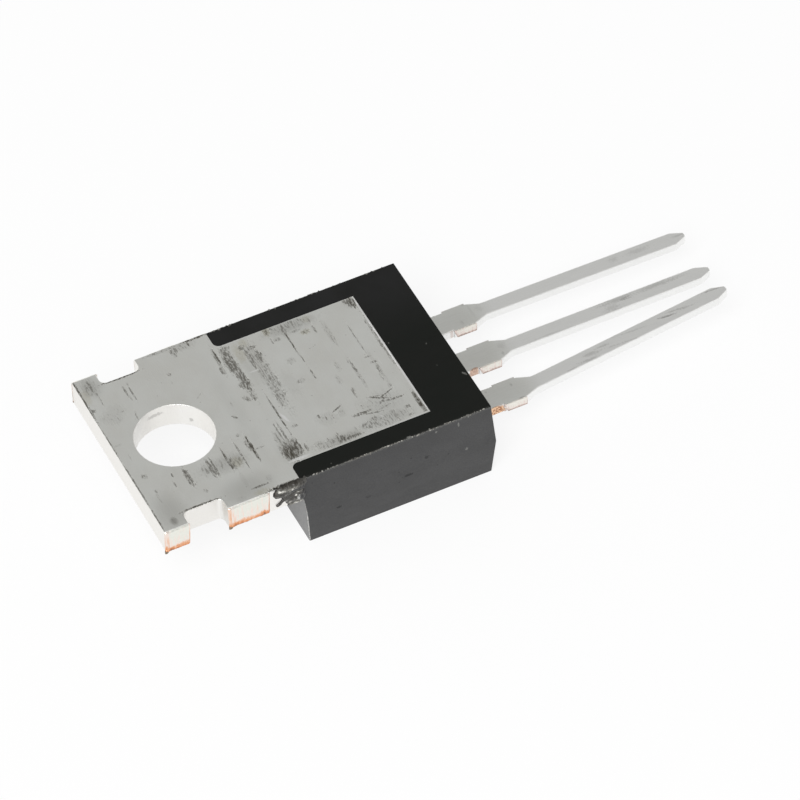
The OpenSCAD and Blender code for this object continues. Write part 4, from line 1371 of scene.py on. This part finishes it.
flash_y, flash_z = np.meshgrid(
    np.arange(FLASH_FROM_Y, FLASH_TO_Y, FLASH_STEP), np.arange(FLASH_LIP, tab_floor_z + 0.02, -FLASH_STEP)
)
flash_h = flash_height(flash_y, np.minimum(flash_z, 0.0))
over_edge = np.maximum(flash_z, 0.0)
flash_x = -tab_half_width - flash_h * ease(over_edge, 0.03, 0.0) + over_edge
lip_wander = smooth_noise((flash_y - FLASH_FROM_Y) / FLASH_LENGTH, 0 * flash_y, 24, 1, 41)
lip_reach = 0.02 + FLASH_LIP * lip_wander * (flash_h > 0.03) * ease(-flash_y, 2.66, 2.90)
lip_z = 0.02 * ease(over_edge, 0.0, 0.03) - 0.09 * ease(over_edge, lip_reach - 0.02, lip_reach)
flash_grid = np.stack([flash_x, flash_y, np.minimum(flash_z, 0.0) + lip_z], -1)[:, ::-1]
# The flash's tone is painted light; the lip over the tab's edge gets painted shade as well.
flash_lit = flash_painted_light(flash_y, flash_z, flash_h) - 0.20 * ease(over_edge, 0.0, 0.04)
flash_lit = flash_lit[:, ::-1]
flash = surface_piece("resin_flash_on_tab", [(flash_grid, flash_lit)], flash_skin)
give_wall(flash, 0.05)

# %% [markdown]
# ## Crumbs along the moulding's edges
#
# The thin resin that squeezes out between the mould halves breaks off and leaves a ragged
# edge. It is a fine tube laid just inside each edge: its radius is a smooth random field along
# the tube, raised to a power, so that most of it stays buried and only the crumbs come out.


# %% Crumbs
def crumb_tube(start, end, steps, buried, tallest, pale, seed, sides=9):
    """A tube from start to end in mm whose radius is buried plus a peaky random height.

    The ring at t has the points centre + radius (cos a, sin a) across the tube's line, and the
    radius falls to nothing at both ends."""
    t = np.linspace(0, 1, steps)[:, None]
    angle = np.linspace(0, 2 * np.pi, sides, endpoint=False)[None, :]
    start = np.array(start)
    end = np.array(end)
    line = (end - start) / np.linalg.norm(end - start)
    across = np.cross(line, (0.0, 0.0, 1.0))
    up = np.cross(across, line)
    cells = steps // 4
    peaks = smooth_noise(t + 0 * angle, angle / (2 * np.pi) + 0 * t, cells, 5, seed) ** 4
    gates = ease(smooth_noise(t, 0 * t, max(cells // 6, 3), 1, seed + 1), 0.3, 0.8)
    end_fall = np.sqrt(np.clip(np.sin(np.pi * t), 0, 1)) ** 0.3
    radius = (buried + tallest * peaks * (0.25 + 0.75 * gates)) * end_fall
    centre = start + t[..., None] * (end - start)
    ring = radius[..., None] * (np.cos(angle)[..., None] * across + np.sin(angle)[..., None] * up)
    tone = pale + 0.30 * (smooth_noise(t, 0 * t, cells, 1, seed + 2) - 0.5) + 0.25 * peaks
    return centre + ring, tone + 0 * angle


edge_x = mould_half_width - 0.016
end_x = edge_x - 0.1
end_y = mould_end_y + 0.035
edge_runs = [
    ((-edge_x, shoulder_y - 0.1, -0.022), (-edge_x, mould_end_y + 0.12, -0.022), 640, 0.019, 0.08, 0.64, 3),
    ((edge_x, mould_end_y + 0.05, -0.022), (edge_x, shoulder_y - 0.05, -0.022), 420, 0.018, 0.085, 0.5, 8),
    ((edge_x, shoulder_y - 1.6, -0.03), (edge_x, shoulder_y - 0.02, -0.03), 90, 0.02, 0.12, 0.5, 21),
    ((-end_x, end_y, -0.04), (end_x, end_y, -0.04), 420, 0.028, 0.03, 0.5, 14),
]
crumb_patches = [crumb_tube(*run) for run in edge_runs]
surface_piece("moulding_edge_crumbs", crumb_patches, flash_skin, closed=True)
